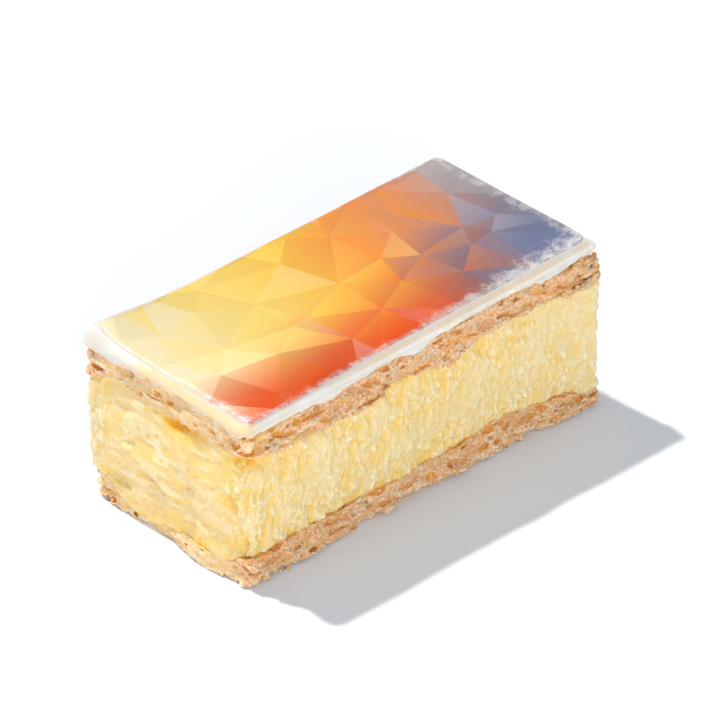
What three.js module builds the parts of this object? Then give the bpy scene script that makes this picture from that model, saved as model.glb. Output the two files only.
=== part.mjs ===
// A mille feuille slice: a block of set custard between two sheets of puff pastry. The top sheet is glazed
// with white fondant icing that sets in a lip over its edges, and a thin printed sugar sheet lies on the icing.
//
// Units are millimetres, +Z is up, X runs along the slice and Y across it. The origin is the middle of the
// slice's bounding box, on the plane that it stands on.
//
// Every layer is a stack of rings. A ring has RING_POINTS points and follows one rounded rectangle, the
// nominal outline, drawn in by an inset and pushed out by the relief at each point. As the rings of all the
// layers share their places along the outline, two layers that meet keep the same gap all the way round.
import * as THREE from "three";

// Driving dimensions.
const LENGTH = 110.4; // of the nominal outline, along X
const WIDTH = 53.6; // of the nominal outline, along Y
const CORNER_RADIUS = 3; // of the nominal outline
const BOTTOM_PASTRY = 7.8; // thickness of each layer, at the middle
const CUSTARD = 26.1;
const TOP_PASTRY = 8;
const ICING = 1.2;
const PRINT_SHEET = 0.35;
const GAP = 0.3; // left between two layers that touch
const TOP_RISE_X = 0.03; // the set custard slumped, so the top rises by this much for each mm towards +X
const TOP_RISE_Y = 0.0375; // and by this much towards +Y
const SHEET_LENGTH = 107.4; // of the printed sheet
const SHEET_WIDTH = 49.6;
const SHEET_CENTRE = new THREE.Vector2(0.5, 1.1); // the sheet was laid on a little off the middle
const SHEET_CORNER_RADII = { nearLeft: 1, nearRight: 3, farRight: 1.6, farLeft: 6 };

// Heights at the middle of the slice, worked out from the thicknesses.
const CUSTARD_LOW = BOTTOM_PASTRY + GAP;
const CUSTARD_HIGH = CUSTARD_LOW + CUSTARD;
const TOP_PASTRY_LOW = CUSTARD_HIGH + GAP;
const TOP_PASTRY_HIGH = TOP_PASTRY_LOW + TOP_PASTRY;
const ICING_LOW = TOP_PASTRY_HIGH + GAP;
const ICING_HIGH = ICING_LOW + ICING;
const SHEET_LOW = ICING_HIGH + GAP;

// How finely the layers are divided.
const RING_POINTS = 132;
const SHEET_POINTS = 80;
const CUSTARD_ROWS = 11;
const TOP_PASTRY_ROWS = 9;
const BOTTOM_PASTRY_ROWS = 8;

// Insets of the rings from the nominal outline.
const PASTRY_INSET = 0.7; // the sheets of pastry are cut a little smaller than the custard spreads
const CONTACT_INSET = 6; // the flat middle of a layer ends here
const SEAM_INSET = 3; // the seam between two layers is wavy outside this
const FOOT_INSET = 2.4; // the part of the underside that rests on the table ends here
const LIP_INNER = 1.2; // inner side of the icing's lip
const LIP_SEAT = 1.7; // the pastry's edge behind the lip
const DEEPEST_RELIEF = 2.1; // relief stays outside SEAM_INSET
const END_BLEND = 10; // a short side takes on its own look over this distance from its corners

// Hollows where a bubble in a layer was cut open: the middle of each one's mouth, and its half length along
// the side, half height and depth.
const HOLLOWS = {
  bottomPastry: [
    { at: [18.5, -26.8, 5.2], half: [5.5, 1.7], depth: 2.2 },
    { at: [-47, -26.8, 3.6], half: [5, 1.4], depth: 1.8 },
    { at: [-55.2, -20, 3.4], half: [4, 1.3], depth: 1.6 },
    { at: [-20, 26.8, 4.4], half: [5, 1.5], depth: 1.8 },
    { at: [55.2, 6, 3.8], half: [5, 1.4], depth: 1.6 },
  ],
  custard: [
    { at: [-54.6, -25.6, 29], half: [3.4, 3.4], depth: 2.1 },
    { at: [-55.2, -1, 31.6], half: [4.6, 1.8], depth: 2 },
    { at: [-55.2, 12.4, 20.3], half: [3.2, 2.2], depth: 1.4 },
    { at: [-55.2, 9, 15.5], half: [5, 1.8], depth: 1.4 },
    { at: [-55.2, 17, 9], half: [5, 1.8], depth: 1.6 },
    { at: [55.2, -8, 18], half: [5, 2.2], depth: 1.6 },
    { at: [55.2, 12, 26], half: [4, 2.2], depth: 1.6 },
  ],
  topPastry: [
    { at: [-44, -26.8, 33.6], half: [3.6, 1.8], depth: 1.9 },
    { at: [-36, -26.8, 35], half: [4, 1.5], depth: 2 },
    { at: [-28, -26.8, 38], half: [4.5, 1.6], depth: 1.8 },
    { at: [19.2, -26.8, 39.4], half: [2.4, 1.6], depth: 2 },
    { at: [47, -26.8, 37.6], half: [4.5, 1.5], depth: 1.6 },
    { at: [-55.2, 16.2, 40.2], half: [3, 1.5], depth: 2 },
    { at: [-10, 26.8, 38], half: [4, 1.5], depth: 1.8 },
    { at: [55.2, -4, 38], half: [4, 1.5], depth: 1.8 },
  ],
};

// A repeatable value from 0 to 1 for a point of an integer lattice.
function latticeValue(ix, iy, iz, seed) {
  let h = Math.imul(ix, 0x27d4eb2d) ^ Math.imul(iy, 0x165667b1) ^ Math.imul(iz, 0x1b873593);
  h ^= Math.imul(seed + 1, 0x2c9277b5);
  h = Math.imul(h ^ (h >>> 15), 0x2c1b3c6d);
  h = Math.imul(h ^ (h >>> 12), 0x297a2d39);
  return ((h ^ (h >>> 15)) >>> 0) / 0xffffffff;
}

// Smooth noise from -1 to 1, between the lattice values around the point.
function noise(x, y, z, seed) {
  const ease = (t) => t * t * (3 - 2 * t);
  const [ix, iy, iz] = [x, y, z].map(Math.floor);
  const [fx, fy, fz] = [ease(x - ix), ease(y - iy), ease(z - iz)];
  const along = (jy, jz) =>
    THREE.MathUtils.lerp(latticeValue(ix, jy, jz, seed), latticeValue(ix + 1, jy, jz, seed), fx);
  const across = (jz) => THREE.MathUtils.lerp(along(iy, jz), along(iy + 1, jz), fy);
  return 2 * THREE.MathUtils.lerp(across(iz), across(iz + 1), fz) - 1;
}

// A rectangle round the origin whose corners have their own radii, anticlockwise from the middle of +X.
function roundedRectangle(length, width, radii) {
  const a = length / 2;
  const b = width / 2;
  const path = new THREE.Path();
  path.moveTo(a, 0);
  path.lineTo(a, b - radii.farRight);
  path.absarc(a - radii.farRight, b - radii.farRight, radii.farRight, 0, Math.PI / 2);
  path.lineTo(radii.farLeft - a, b);
  path.absarc(radii.farLeft - a, b - radii.farLeft, radii.farLeft, Math.PI / 2, Math.PI);
  path.lineTo(-a, radii.nearLeft - b);
  path.absarc(radii.nearLeft - a, radii.nearLeft - b, radii.nearLeft, Math.PI, 1.5 * Math.PI);
  path.lineTo(a - radii.nearRight, -b);
  path.absarc(a - radii.nearRight, radii.nearRight - b, radii.nearRight, 1.5 * Math.PI, 2 * Math.PI);
  path.lineTo(a, 0);
  return path;
}

// The nominal outline: for each of its points, its place, the way out of the slice, and how much of an end
// face the point belongs to: 0 on the long sides and at the corners, and 1 along the middle of a short side.
function nominalOutline() {
  const r = CORNER_RADIUS;
  const path = roundedRectangle(LENGTH, WIDTH, { nearLeft: r, nearRight: r, farRight: r, farLeft: r });
  return Array.from({ length: RING_POINTS }, (_, i) => {
    const place = path.getPointAt(i / RING_POINTS);
    const tangent = path.getTangentAt(i / RING_POINTS);
    const out = new THREE.Vector2(tangent.y, -tangent.x);
    const onShortSide = Math.abs(place.x) > LENGTH / 2 - r;
    const fromCorner = onShortSide ? WIDTH / 2 - Math.abs(place.y) : 0;
    return { x: place.x, y: place.y, out, end: THREE.MathUtils.smoothstep(fromCorner, 0, END_BLEND) };
  });
}

const OUTLINE = nominalOutline();

// A height in the slice with the top's slope in it: none at the custard's foot, and all of it from its top up.
function sloped(x, y, z) {
  const share = THREE.MathUtils.clamp((z - CUSTARD_LOW) / (CUSTARD_HIGH - CUSTARD_LOW), 0, 1);
  return z + share * (TOP_RISE_X * x + TOP_RISE_Y * y);
}

// One ring of a layer. inset, relief and height are numbers, or functions of a point of the outline.
function ring(inset, relief, height) {
  return OUTLINE.map((p) => {
    const value = (v) => (typeof v === "function" ? v(p) : v);
    const drawnIn = value(inset);
    const outward = value(relief);
    const x = p.x * (1 - (2 * drawnIn) / LENGTH) + p.out.x * outward;
    const y = p.y * (1 - (2 * drawnIn) / WIDTH) + p.out.y * outward;
    return new THREE.Vector3(x, y, sloped(x, y, value(height)));
  });
}

// A closed solid through a stack of rings with as many points each, closed by a fan at both ends. Each quad
// between two rings is split along its shorter diagonal, so surfaces that face each other split alike.
function ringSolid(rings) {
  const count = rings[0].length;
  const middle = (points) =>
    points.reduce((sum, p) => sum.add(p), new THREE.Vector3()).divideScalar(count);
  const points = [...rings.flat(), middle(rings[0]), middle(rings[rings.length - 1])];
  const faces = [];
  for (let r = 0; r + 1 < rings.length; r++)
    for (let i = 0; i < count; i++) {
      const j = (i + 1) % count;
      const [a, b, c, d] = [r * count + i, r * count + j, (r + 1) * count + j, (r + 1) * count + i];
      if (points[a].distanceTo(points[c]) < points[b].distanceTo(points[d])) faces.push(a, b, c, a, c, d);
      else faces.push(a, b, d, b, c, d);
    }
  const last = (rings.length - 1) * count;
  for (let i = 0; i < count; i++) {
    const j = (i + 1) % count;
    faces.push(points.length - 2, j, i, points.length - 1, last + i, last + j);
  }
  return new THREE.BufferGeometry().setFromPoints(points).setIndex(faces);
}

// How deep the hollows of a layer are at a point of its side: each is a smooth pit with an oval mouth.
function hollowDepth(hollows, p, z) {
  return hollows.reduce((depth, h) => {
    const along = Math.hypot(p.x - h.at[0], p.y - h.at[1]) / h.half[0];
    const up = (z - h.at[2]) / h.half[1];
    const reach = Math.max(0, 1 - along * along - up * up);
    return depth + h.depth * Math.sqrt(reach);
  }, 0);
}

// How far the pastry's side stands out at a height: broad crags, thin leaves that run along the side, and grain.
function pastryRelief(p, z, hollows, seed) {
  const crag = noise(p.x / 7, p.y / 7, z / 5, seed);
  const leaf = noise(p.x / 9, p.y / 9, z / 1.4, seed + 1);
  const grain = noise(p.x / 3.2, p.y / 3.2, z / 1.7, seed + 2);
  const relief = 0.9 * crag + 0.85 * leaf + 0.65 * grain - hollowDepth(hollows, p, z);
  return Math.max(relief, -DEEPEST_RELIEF);
}

// How far the custard's side stands out: a bulge in the middle, lumps, upright tears on the long sides, where it
// was pulled off the knife, and level smears on the ends, where the knife slid.
function custardRelief(p, z) {
  const level = THREE.MathUtils.clamp((z - CUSTARD_LOW) / CUSTARD, 0, 1);
  const bulge = Math.sin(Math.PI * level ** 0.8) * (0.3 + 1.2 * p.end);
  const lump = noise(p.x / 6, p.y / 6, z / 6, 11);
  const tear = noise(p.x / 3.4, p.y / 3.4, z / 8, 12) * (1 - p.end);
  const smear = noise(p.x / 8, p.y / 8, z / 2.6, 13) * p.end;
  const relief = bulge + 0.6 * lump + 0.8 * tear + 0.7 * smear - hollowDepth(HOLLOWS.custard, p, z);
  return Math.max(relief, -DEEPEST_RELIEF);
}

// A smooth rise or dip around a place on the outline: 1 there, and fading out over its reach.
function near(p, x, y, reach) {
  return Math.exp(-(((p.x - x) / reach) ** 2) - ((p.y - y) / reach) ** 2);
}

// Where the custard's side meets the bottom pastry. The seam wanders, sits lower on the short sides, where the
// custard slumped over the pastry, and has a hump and a dip along the near long side.
function lowerSeam(p) {
  const wander = 0.9 * noise(p.x / 11, p.y / 11, 0.5, 21) + 0.5 * noise(p.x / 5, p.y / 5, 0.5, 22);
  const hump = 2 * near(p, 22, -27, 9) - 3 * near(p, 56, -27, 10);
  return CUSTARD_LOW - GAP / 2 + 0.2 + wander + hump - 3.4 * p.end;
}

// Where the custard's side meets the top pastry: a ragged seam, which hangs lowest at the near left corner.
function upperSeam(p) {
  const wander = 1.3 * noise(p.x / 9, p.y / 9, 0.5, 23) + 0.7 * noise(p.x / 4, p.y / 4, 0.5, 24);
  const hang = 1.8 * near(p, -55, -24, 16);
  return CUSTARD_HIGH + GAP / 2 - 0.3 + wander - hang + 1.4 * p.end;
}

// How far the icing's lip hangs below its top: a thin edge on the long sides, with a few drips, and a full roll
// on the short ones.
function lipDrop(p) {
  const sag = 0.5 + 0.5 * noise(p.x / 8, p.y / 8, 0.5, 31);
  const drips = 2 * near(p, -30, -27, 4) + 2.2 * near(p, -3.5, -27, 4) + 1.2 * near(p, 41, -27, 8);
  return 1.1 + 0.9 * sag + drips + 1.6 * p.end;
}

// Heights that divide a side from low to high into rows.
function rowsBetween(low, high, count) {
  return Array.from({ length: count }, (_, i) => (p) => {
    const share = i / (count - 1);
    return low(p) + share * (high(p) - low(p));
  });
}

function bottomPastry() {
  const lifted = (p) => 0.5 + 0.45 * noise(p.x / 6, p.y / 6, 0.5, 41); // the rim curls off the table
  const top = (p) => lowerSeam(p) - GAP / 2;
  const wall = rowsBetween(lifted, top, BOTTOM_PASTRY_ROWS).map((height) => {
    const relief = (p) => pastryRelief(p, height(p), HOLLOWS.bottomPastry, 1);
    return ring(PASTRY_INSET, relief, height);
  });
  return ringSolid([
    ring(FOOT_INSET, 0, 0),
    ...wall,
    ring(SEAM_INSET, 0, top),
    ring(CONTACT_INSET, 0, BOTTOM_PASTRY),
  ]);
}

function custard() {
  const foot = (p) => lowerSeam(p) + GAP / 2;
  const top = (p) => upperSeam(p) - GAP / 2;
  const wall = rowsBetween(foot, top, CUSTARD_ROWS).map((height) =>
    ring(0.5, (p) => custardRelief(p, height(p)), height),
  );
  return ringSolid([
    ring(CONTACT_INSET, 0, CUSTARD_LOW),
    ring(SEAM_INSET, 0, foot),
    ...wall,
    ring(SEAM_INSET, 0, top),
    ring(CONTACT_INSET, 0, CUSTARD_HIGH),
  ]);
}

function topPastry() {
  const foot = (p) => upperSeam(p) + GAP / 2;
  const underLip = (p) => ICING_HIGH - lipDrop(p) - GAP;
  const wall = rowsBetween(foot, (p) => underLip(p) - 0.3, TOP_PASTRY_ROWS).map((height) =>
    ring(PASTRY_INSET, (p) => pastryRelief(p, height(p), HOLLOWS.topPastry, 5), height),
  );
  return ringSolid([
    ring(CONTACT_INSET, 0, TOP_PASTRY_LOW),
    ring(SEAM_INSET, 0, foot),
    ...wall,
    ring(LIP_SEAT, 0, underLip),
    ring(LIP_SEAT, 0, TOP_PASTRY_HIGH),
    ring(CONTACT_INSET, 0, TOP_PASTRY_HIGH),
  ]);
}

function icing() {
  const lipFoot = (p) => ICING_HIGH - lipDrop(p);
  const swell = (p) => 0.35 * noise(p.x / 7, p.y / 7, 0.5, 33) + 0.15;
  return ringSolid([
    ring(CONTACT_INSET, 0, ICING_LOW),
    ring(LIP_INNER, 0, ICING_LOW),
    ring(LIP_INNER, 0, (p) => lipFoot(p) + 0.1),
    ring(0.5, 0, lipFoot),
    ring(0.05, swell, (p) => lipFoot(p) + 0.5),
    ring(0.1, swell, ICING_HIGH - 0.9),
    ring(0.7, swell, ICING_HIGH - 0.25),
    ring(1.9, 0, ICING_HIGH),
  ]);
}

function printSheet() {
  const path = roundedRectangle(SHEET_LENGTH, SHEET_WIDTH, SHEET_CORNER_RADII);
  const outline = path.getSpacedPoints(SHEET_POINTS).slice(0, SHEET_POINTS);
  const sheetRing = (height) =>
    outline.map((point) => {
      const [x, y] = [point.x + SHEET_CENTRE.x, point.y + SHEET_CENTRE.y];
      return new THREE.Vector3(x, y, sloped(x, y, height));
    });
  return ringSolid([sheetRing(SHEET_LOW), sheetRing(SHEET_LOW + PRINT_SHEET)]);
}

// Finishes of the layers.
const bakedPastry = () => new THREE.MeshStandardMaterial({ color: 0xdcae7a, roughness: 0.85, metalness: 0 });
const setCustard = () => new THREE.MeshStandardMaterial({ color: 0xf7e08e, roughness: 0.55, metalness: 0 });
const fondant = () => new THREE.MeshStandardMaterial({ color: 0xf4f1ea, roughness: 0.25, metalness: 0 });
const printedSugar = () => new THREE.MeshStandardMaterial({ color: 0xe8973f, roughness: 0.4, metalness: 0 });

function layer(name, geometry, material) {
  const mesh = new THREE.Mesh(geometry, material);
  mesh.name = name;
  geometry.computeVertexNormals();
  return mesh;
}

const slice = new THREE.Group();
slice.add(
  layer("bottom_pastry", bottomPastry(), bakedPastry()),
  layer("custard", custard(), setCustard()),
  layer("top_pastry", topPastry(), bakedPastry()),
  layer("icing", icing(), fondant()),
  layer("print_sheet", printSheet(), printedSugar()),
);

// The ragged sides reach out unevenly, so the slice is moved to stand over the middle of its box.
const box = new THREE.Box3().setFromObject(slice);
const centre = box.getCenter(new THREE.Vector3());
slice.position.set(-centre.x, -centre.y, -box.min.z);

export default slice;
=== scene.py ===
"""A mille feuille slice dressed for the studio: puff pastry, set custard, icing and a printed sugar sheet.

The slice is a stack of layers over one rounded rectangle, the nominal outline. Sizes are in millimetres, and
a height is a layer height: the slope of the slumped top is added last, as a mesh is placed in the frame.
Shapes are worked out with numpy as whole arrays, either as a grid that follows the outline or, where pastry
is porous and overhangs itself, as the skin of a field on a lattice that follows the outline.
"""

import logging
import math
from dataclasses import dataclass, field
from enum import Enum

import bpy
import numpy as np
from mathutils import Matrix, Vector
from mathutils.geometry import delaunay_2d_cdt


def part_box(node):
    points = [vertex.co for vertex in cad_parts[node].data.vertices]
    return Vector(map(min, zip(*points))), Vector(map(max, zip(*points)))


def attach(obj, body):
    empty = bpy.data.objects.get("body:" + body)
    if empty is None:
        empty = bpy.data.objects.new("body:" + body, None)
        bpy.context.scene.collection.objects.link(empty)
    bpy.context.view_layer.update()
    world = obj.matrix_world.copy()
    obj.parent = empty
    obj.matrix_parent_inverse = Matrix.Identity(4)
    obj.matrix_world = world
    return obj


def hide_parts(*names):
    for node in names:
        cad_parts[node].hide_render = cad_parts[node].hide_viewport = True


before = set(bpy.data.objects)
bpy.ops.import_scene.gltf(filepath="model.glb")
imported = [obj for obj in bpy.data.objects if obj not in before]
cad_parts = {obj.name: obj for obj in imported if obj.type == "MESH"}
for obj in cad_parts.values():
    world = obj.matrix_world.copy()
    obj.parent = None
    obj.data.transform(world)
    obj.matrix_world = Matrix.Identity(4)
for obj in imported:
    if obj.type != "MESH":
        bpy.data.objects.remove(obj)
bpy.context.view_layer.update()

LOG = logging.getLogger("slice")
MM = 0.001
BODY = "root"

Array = np.ndarray
Points = tuple[Array, Array, Array]
Rgb = tuple[float, float, float]
Bump = tuple[float, float, float, float]
Octave = tuple[float, float, float, int]
Node = bpy.types.Node
Socket = bpy.types.NodeSocket
Outputs = dict[str, Socket]
Piece = bpy.types.Object


# ---- Noise and small helpers ----


def smoothstep(value: Array, low: float, high: float) -> Array:
    """Ease from 0 at low to 1 at high: t squared times (3 - 2t)."""
    t = np.clip((np.asarray(value, float) - low) / (high - low), 0.0, 1.0)
    return t * t * (3.0 - 2.0 * t)


def sides_of(triangles: Array) -> Array:
    """The three sides of each triangle, as pairs of corners."""
    return np.concatenate([triangles[:, [0, 1]], triangles[:, [1, 2]], triangles[:, [2, 0]]])


def new_object(name: str, data: bpy.types.ID) -> Piece:
    """A new object in the scene, at the origin and unturned."""
    made = bpy.data.objects.new(name, data)
    bpy.context.scene.collection.objects.link(made)
    return made


class Lattice:
    """Repeatable noise from hashed integer lattice points, the same in every run."""

    AXES = (0x27D4EB2D, 0x165667B1, 0x1B873593)
    SEED = 0x2C9277B5
    MIX = (0x2C1B3C6D, 0x297A2D39)
    LARGEST = 0xFFFFFFFF

    @classmethod
    def part(cls, cell: Array, axis: int) -> Array:
        """One axis's share of the hash: the cell number times that axis's multiplier, in 32 bits."""
        return cell.astype(np.int64).astype(np.uint32) * np.uint32(cls.AXES[axis])

    @classmethod
    def mixed(cls, joined: Array, seed: int) -> Array:
        """The hash's last step: the seed is added, then shifts and products spread the bits.

        Args:
            joined: The three axes' shares, joined by exclusive or.
            seed: Which of the independent noises is meant.

        Returns:
            Values from 0 to 1.
        """
        h = joined ^ np.uint32((seed + 1) * cls.SEED & cls.LARGEST)
        h = (h ^ (h >> np.uint32(15))) * np.uint32(cls.MIX[0])
        h = (h ^ (h >> np.uint32(12))) * np.uint32(cls.MIX[1])
        return (h ^ (h >> np.uint32(15))).astype(np.float64) / cls.LARGEST

    @classmethod
    def noise(cls, at: Points, across: float, up: float, seed: int) -> Array:
        """Smooth value noise: the eight lattice values round a point, eased together.

        Args:
            at: The points' x, y and z.
            across: Width of a lattice cell.
            up: Height of a lattice cell.
            seed: Which of the independent noises is meant.

        Returns:
            Values from -1 to 1.
        """
        shares, eased = [], []
        for axis, value in enumerate(np.broadcast_arrays(at[0] / across, at[1] / across, at[2] / up)):
            cell = np.floor(value)
            t = value - cell
            eased.append(t * t * (3.0 - 2.0 * t))
            shares.append((cls.part(cell, axis), cls.part(cell + 1.0, axis)))
        total = 0.0
        for i in (0, 1):
            wx = eased[0] if i else 1.0 - eased[0]
            for j in (0, 1):
                wxy = wx * (eased[1] if j else 1.0 - eased[1])
                for k in (0, 1):
                    weight = wxy * (eased[2] if k else 1.0 - eased[2])
                    total = total + weight * cls.mixed(shares[0][i] ^ shares[1][j] ^ shares[2][k], seed)
        return 2.0 * total - 1.0

    @classmethod
    def octaves(cls, at: Points, rows: tuple[Octave, ...], seed: int = 0) -> Array:
        """Several noises added together.

        Args:
            at: The points' x, y and z.
            rows: Each noise's height, the width and height of its cells, and its seed.
            seed: What is added to each seed.

        Returns:
            The sum.
        """
        return sum(height * cls.noise(at, across, up, number + seed) for height, across, up, number in rows)

    @classmethod
    def balls(
        cls, at: Points, across: float, up: float, seed: int, share: float, radii: tuple[float, float]
    ) -> Array:
        """Scattered balls: a cell holds at most one, at a hashed place and of a hashed radius.

        Args:
            at: The points' x, y and z.
            across: Width of a cell.
            up: Height of a cell.
            seed: Which of the independent scatters is meant.
            share: How many of the cells hold a ball, from 0 to 1.
            radii: The smallest and the largest radius, in cells.

        Returns:
            How deep each point lies in the nearest ball, in cells: the radius less the distance to its
            middle, and never less than -1.
        """
        values = (at[0] / across, at[1] / across, at[2] / up)
        cells = [np.floor(v) for v in values]
        deepest = np.full(np.shape(values[0]), -1.0)
        steps = (-1.0, 0.0, 1.0)
        for step in [(dx, dy, dz) for dx in steps for dy in steps for dz in steps]:
            near = [cell + d for cell, d in zip(cells, step)]
            joined = cls.part(near[0], 0) ^ cls.part(near[1], 1) ^ cls.part(near[2], 2)
            gap = sum(
                (near[axis] + cls.mixed(joined, seed + axis) - value) ** 2
                for axis, value in enumerate(values)
            )
            lot = cls.mixed(joined, seed + 3)
            radius = radii[0] + (radii[1] - radii[0]) * lot / share
            deepest = np.maximum(deepest, np.where(lot < share, radius - np.sqrt(gap), -1.0))
        return deepest


@dataclass
class Skin:
    """A mesh before Blender has it.

    Attributes:
        points: Vertices in millimetres, with heights still as layer heights.
        quads: Four-sided faces.
        tris: Three-sided faces.
        values: Named values of the vertices, for the materials.
    """

    points: Array
    quads: Array = field(default_factory=lambda: np.zeros((0, 4), np.int64))
    tris: Array = field(default_factory=lambda: np.zeros((0, 3), np.int64))
    values: dict[str, Array] = field(default_factory=dict)

    def to_object(self, name: str, place: "Placement") -> Piece:
        """Makes the Blender object, at the origin, with its place in its mesh.

        Args:
            name: Name of the piece.
            place: Where the slice stands in the frame.

        Returns:
            The new object, linked to the scene and smooth shaded.
        """
        mesh = bpy.data.meshes.new(name)
        points = place.to_frame(self.points)
        mesh.vertices.add(len(points))
        mesh.vertices.foreach_set("co", points.astype(np.float32).ravel())
        corners = np.concatenate([self.quads.ravel(), self.tris.ravel()]).astype(np.int32)
        counts = np.concatenate([np.full(len(self.quads), 4), np.full(len(self.tris), 3)])
        starts = np.concatenate([[0], np.cumsum(counts)[:-1]]).astype(np.int32)
        mesh.loops.add(len(corners))
        mesh.loops.foreach_set("vertex_index", corners)
        mesh.polygons.add(len(counts))
        mesh.polygons.foreach_set("loop_start", starts)
        mesh.update(calc_edges=True)
        mesh.validate()
        mesh.polygons.foreach_set("use_smooth", np.ones(len(mesh.polygons), bool))
        for label, numbers in self.values.items():
            attribute = mesh.attributes.new(label, "FLOAT", "POINT")
            attribute.data.foreach_set("value", np.asarray(numbers, np.float32))
        return new_object(name, mesh)


# ---- The slice's measures ----


@dataclass(frozen=True)
class Corners:
    """Radii of a rounded rectangle's corners, named as seen from the near long side."""

    far_right: float
    far_left: float
    near_left: float
    near_right: float


class Reach(Enum):
    """Part of the way round the outline, as shares of it, from the middle of the +X side anticlockwise.

    NEAR and FAR meet just past the far left and near right corners. LEFT and FRONT are the parts of NEAR.
    """

    WHOLE = (0.0, 1.0)
    NEAR = (0.410, 0.928)
    LEFT = (0.410, 0.6785)
    FRONT = (0.677, 0.928)
    FAR = (0.9235, 1.4145)


@dataclass
class Outline:
    """Points along a rounded rectangle, anticlockwise from the middle of its +X side.

    Attributes:
        x, y: The points.
        out_x, out_y: The way out of the slice at each point.
        end: How much of an end face the point is: 0 on long sides, 1 along a short side's middle.
    """

    x: Array
    y: Array
    out_x: Array
    out_y: Array
    end: Array

    END_EASE = 10.0

    @classmethod
    def rounded(
        cls, length: float, width: float, radii: Corners, step: float, reach: Reach = Reach.WHOLE
    ) -> "Outline":
        """Points evenly spaced along a rounded rectangle.

        The centre, radius and angle of the corner arcs run linearly between ten knots: on a straight side
        the centre slides and the angle stays, and on an arc the angle turns and the centre stays.

        Args:
            length: Size along X.
            width: Size along Y.
            radii: The corners' radii.
            step: About how far apart the points are.
            reach: Which part of the way round to cover.

        Returns:
            The outline.
        """
        a, b = length / 2, width / 2
        r = (radii.far_right, radii.far_left, radii.near_left, radii.near_right)
        centres = ((a - r[0], b - r[0]), (r[1] - a, b - r[1]), (r[2] - a, r[2] - b), (a - r[3], r[3] - b))
        knots = [(a - r[0], 0.0, r[0], 0.0)]
        for turn, (centre, radius) in enumerate(zip(centres, r)):
            knots.append((*centre, radius, turn * math.pi / 2))
            knots.append((*centre, radius, (turn + 1) * math.pi / 2))
        knots.append((a - r[3], 0.0, r[3], 2 * math.pi))
        centre_x, centre_y, radius, angle = np.array(knots).T
        corner_x = centre_x + radius * np.cos(angle)
        corner_y = centre_y + radius * np.sin(angle)
        chord = np.hypot(np.diff(corner_x), np.diff(corner_y))
        turned = np.diff(angle)
        reached = np.concatenate([[0.0], np.cumsum(np.where(turned > 0, radius[:-1] * turned, chord))])
        start, stop = (share * reached[-1] for share in reach.value)
        count = round((stop - start) / step)
        along = np.linspace(start, stop, count, endpoint=reach is not Reach.WHOLE) % reached[-1]
        here = [np.interp(along, reached, values) for values in (centre_x, centre_y, radius, angle)]
        out_x, out_y = np.cos(here[3]), np.sin(here[3])
        x, y = here[0] + here[2] * out_x, here[1] + here[2] * out_y
        from_corner = np.where(np.abs(x) > a - max(r), b - np.abs(y), 0.0)
        return cls(x, y, out_x, out_y, smoothstep(from_corner, 0.0, cls.END_EASE))

    def bumps(self, *rows: Bump) -> Array:
        """Smooth bumps at places: height times exp of minus the squared distance over reach squared.

        Args:
            rows: Each bump's height, x, y and reach.

        Returns:
            The sum of the bumps at each point.
        """
        return sum(h * np.exp(-((self.x - x) ** 2 + (self.y - y) ** 2) / reach**2) for h, x, y, reach in rows)

    def wander(self, *rows: tuple[float, float, int]) -> Array:
        """Noise along the outline.

        Args:
            rows: Each noise's height, cell size and seed.

        Returns:
            The sum of the noises at each point.
        """
        at = (self.x, self.y, np.full_like(self.x, 0.5))
        return sum(height * Lattice.noise(at, cell, 1.0, seed) for height, cell, seed in rows)


@dataclass(frozen=True)
class Hollow:
    """A bubble that the knife cut: the middle of its mouth, half its length and height, and its depth."""

    at: tuple[float, float, float]
    half: tuple[float, float]
    depth: float

    def depth_at(self, at: Points) -> Array:
        """Depth of the pit at points of a side: the depth times the root of one minus the oval's distance."""
        along = np.hypot(at[0] - self.at[0], at[1] - self.at[1]) / self.half[0]
        up = (at[2] - self.at[2]) / self.half[1]
        return self.depth * np.sqrt(np.maximum(0.0, 1.0 - along**2 - up**2))


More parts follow.
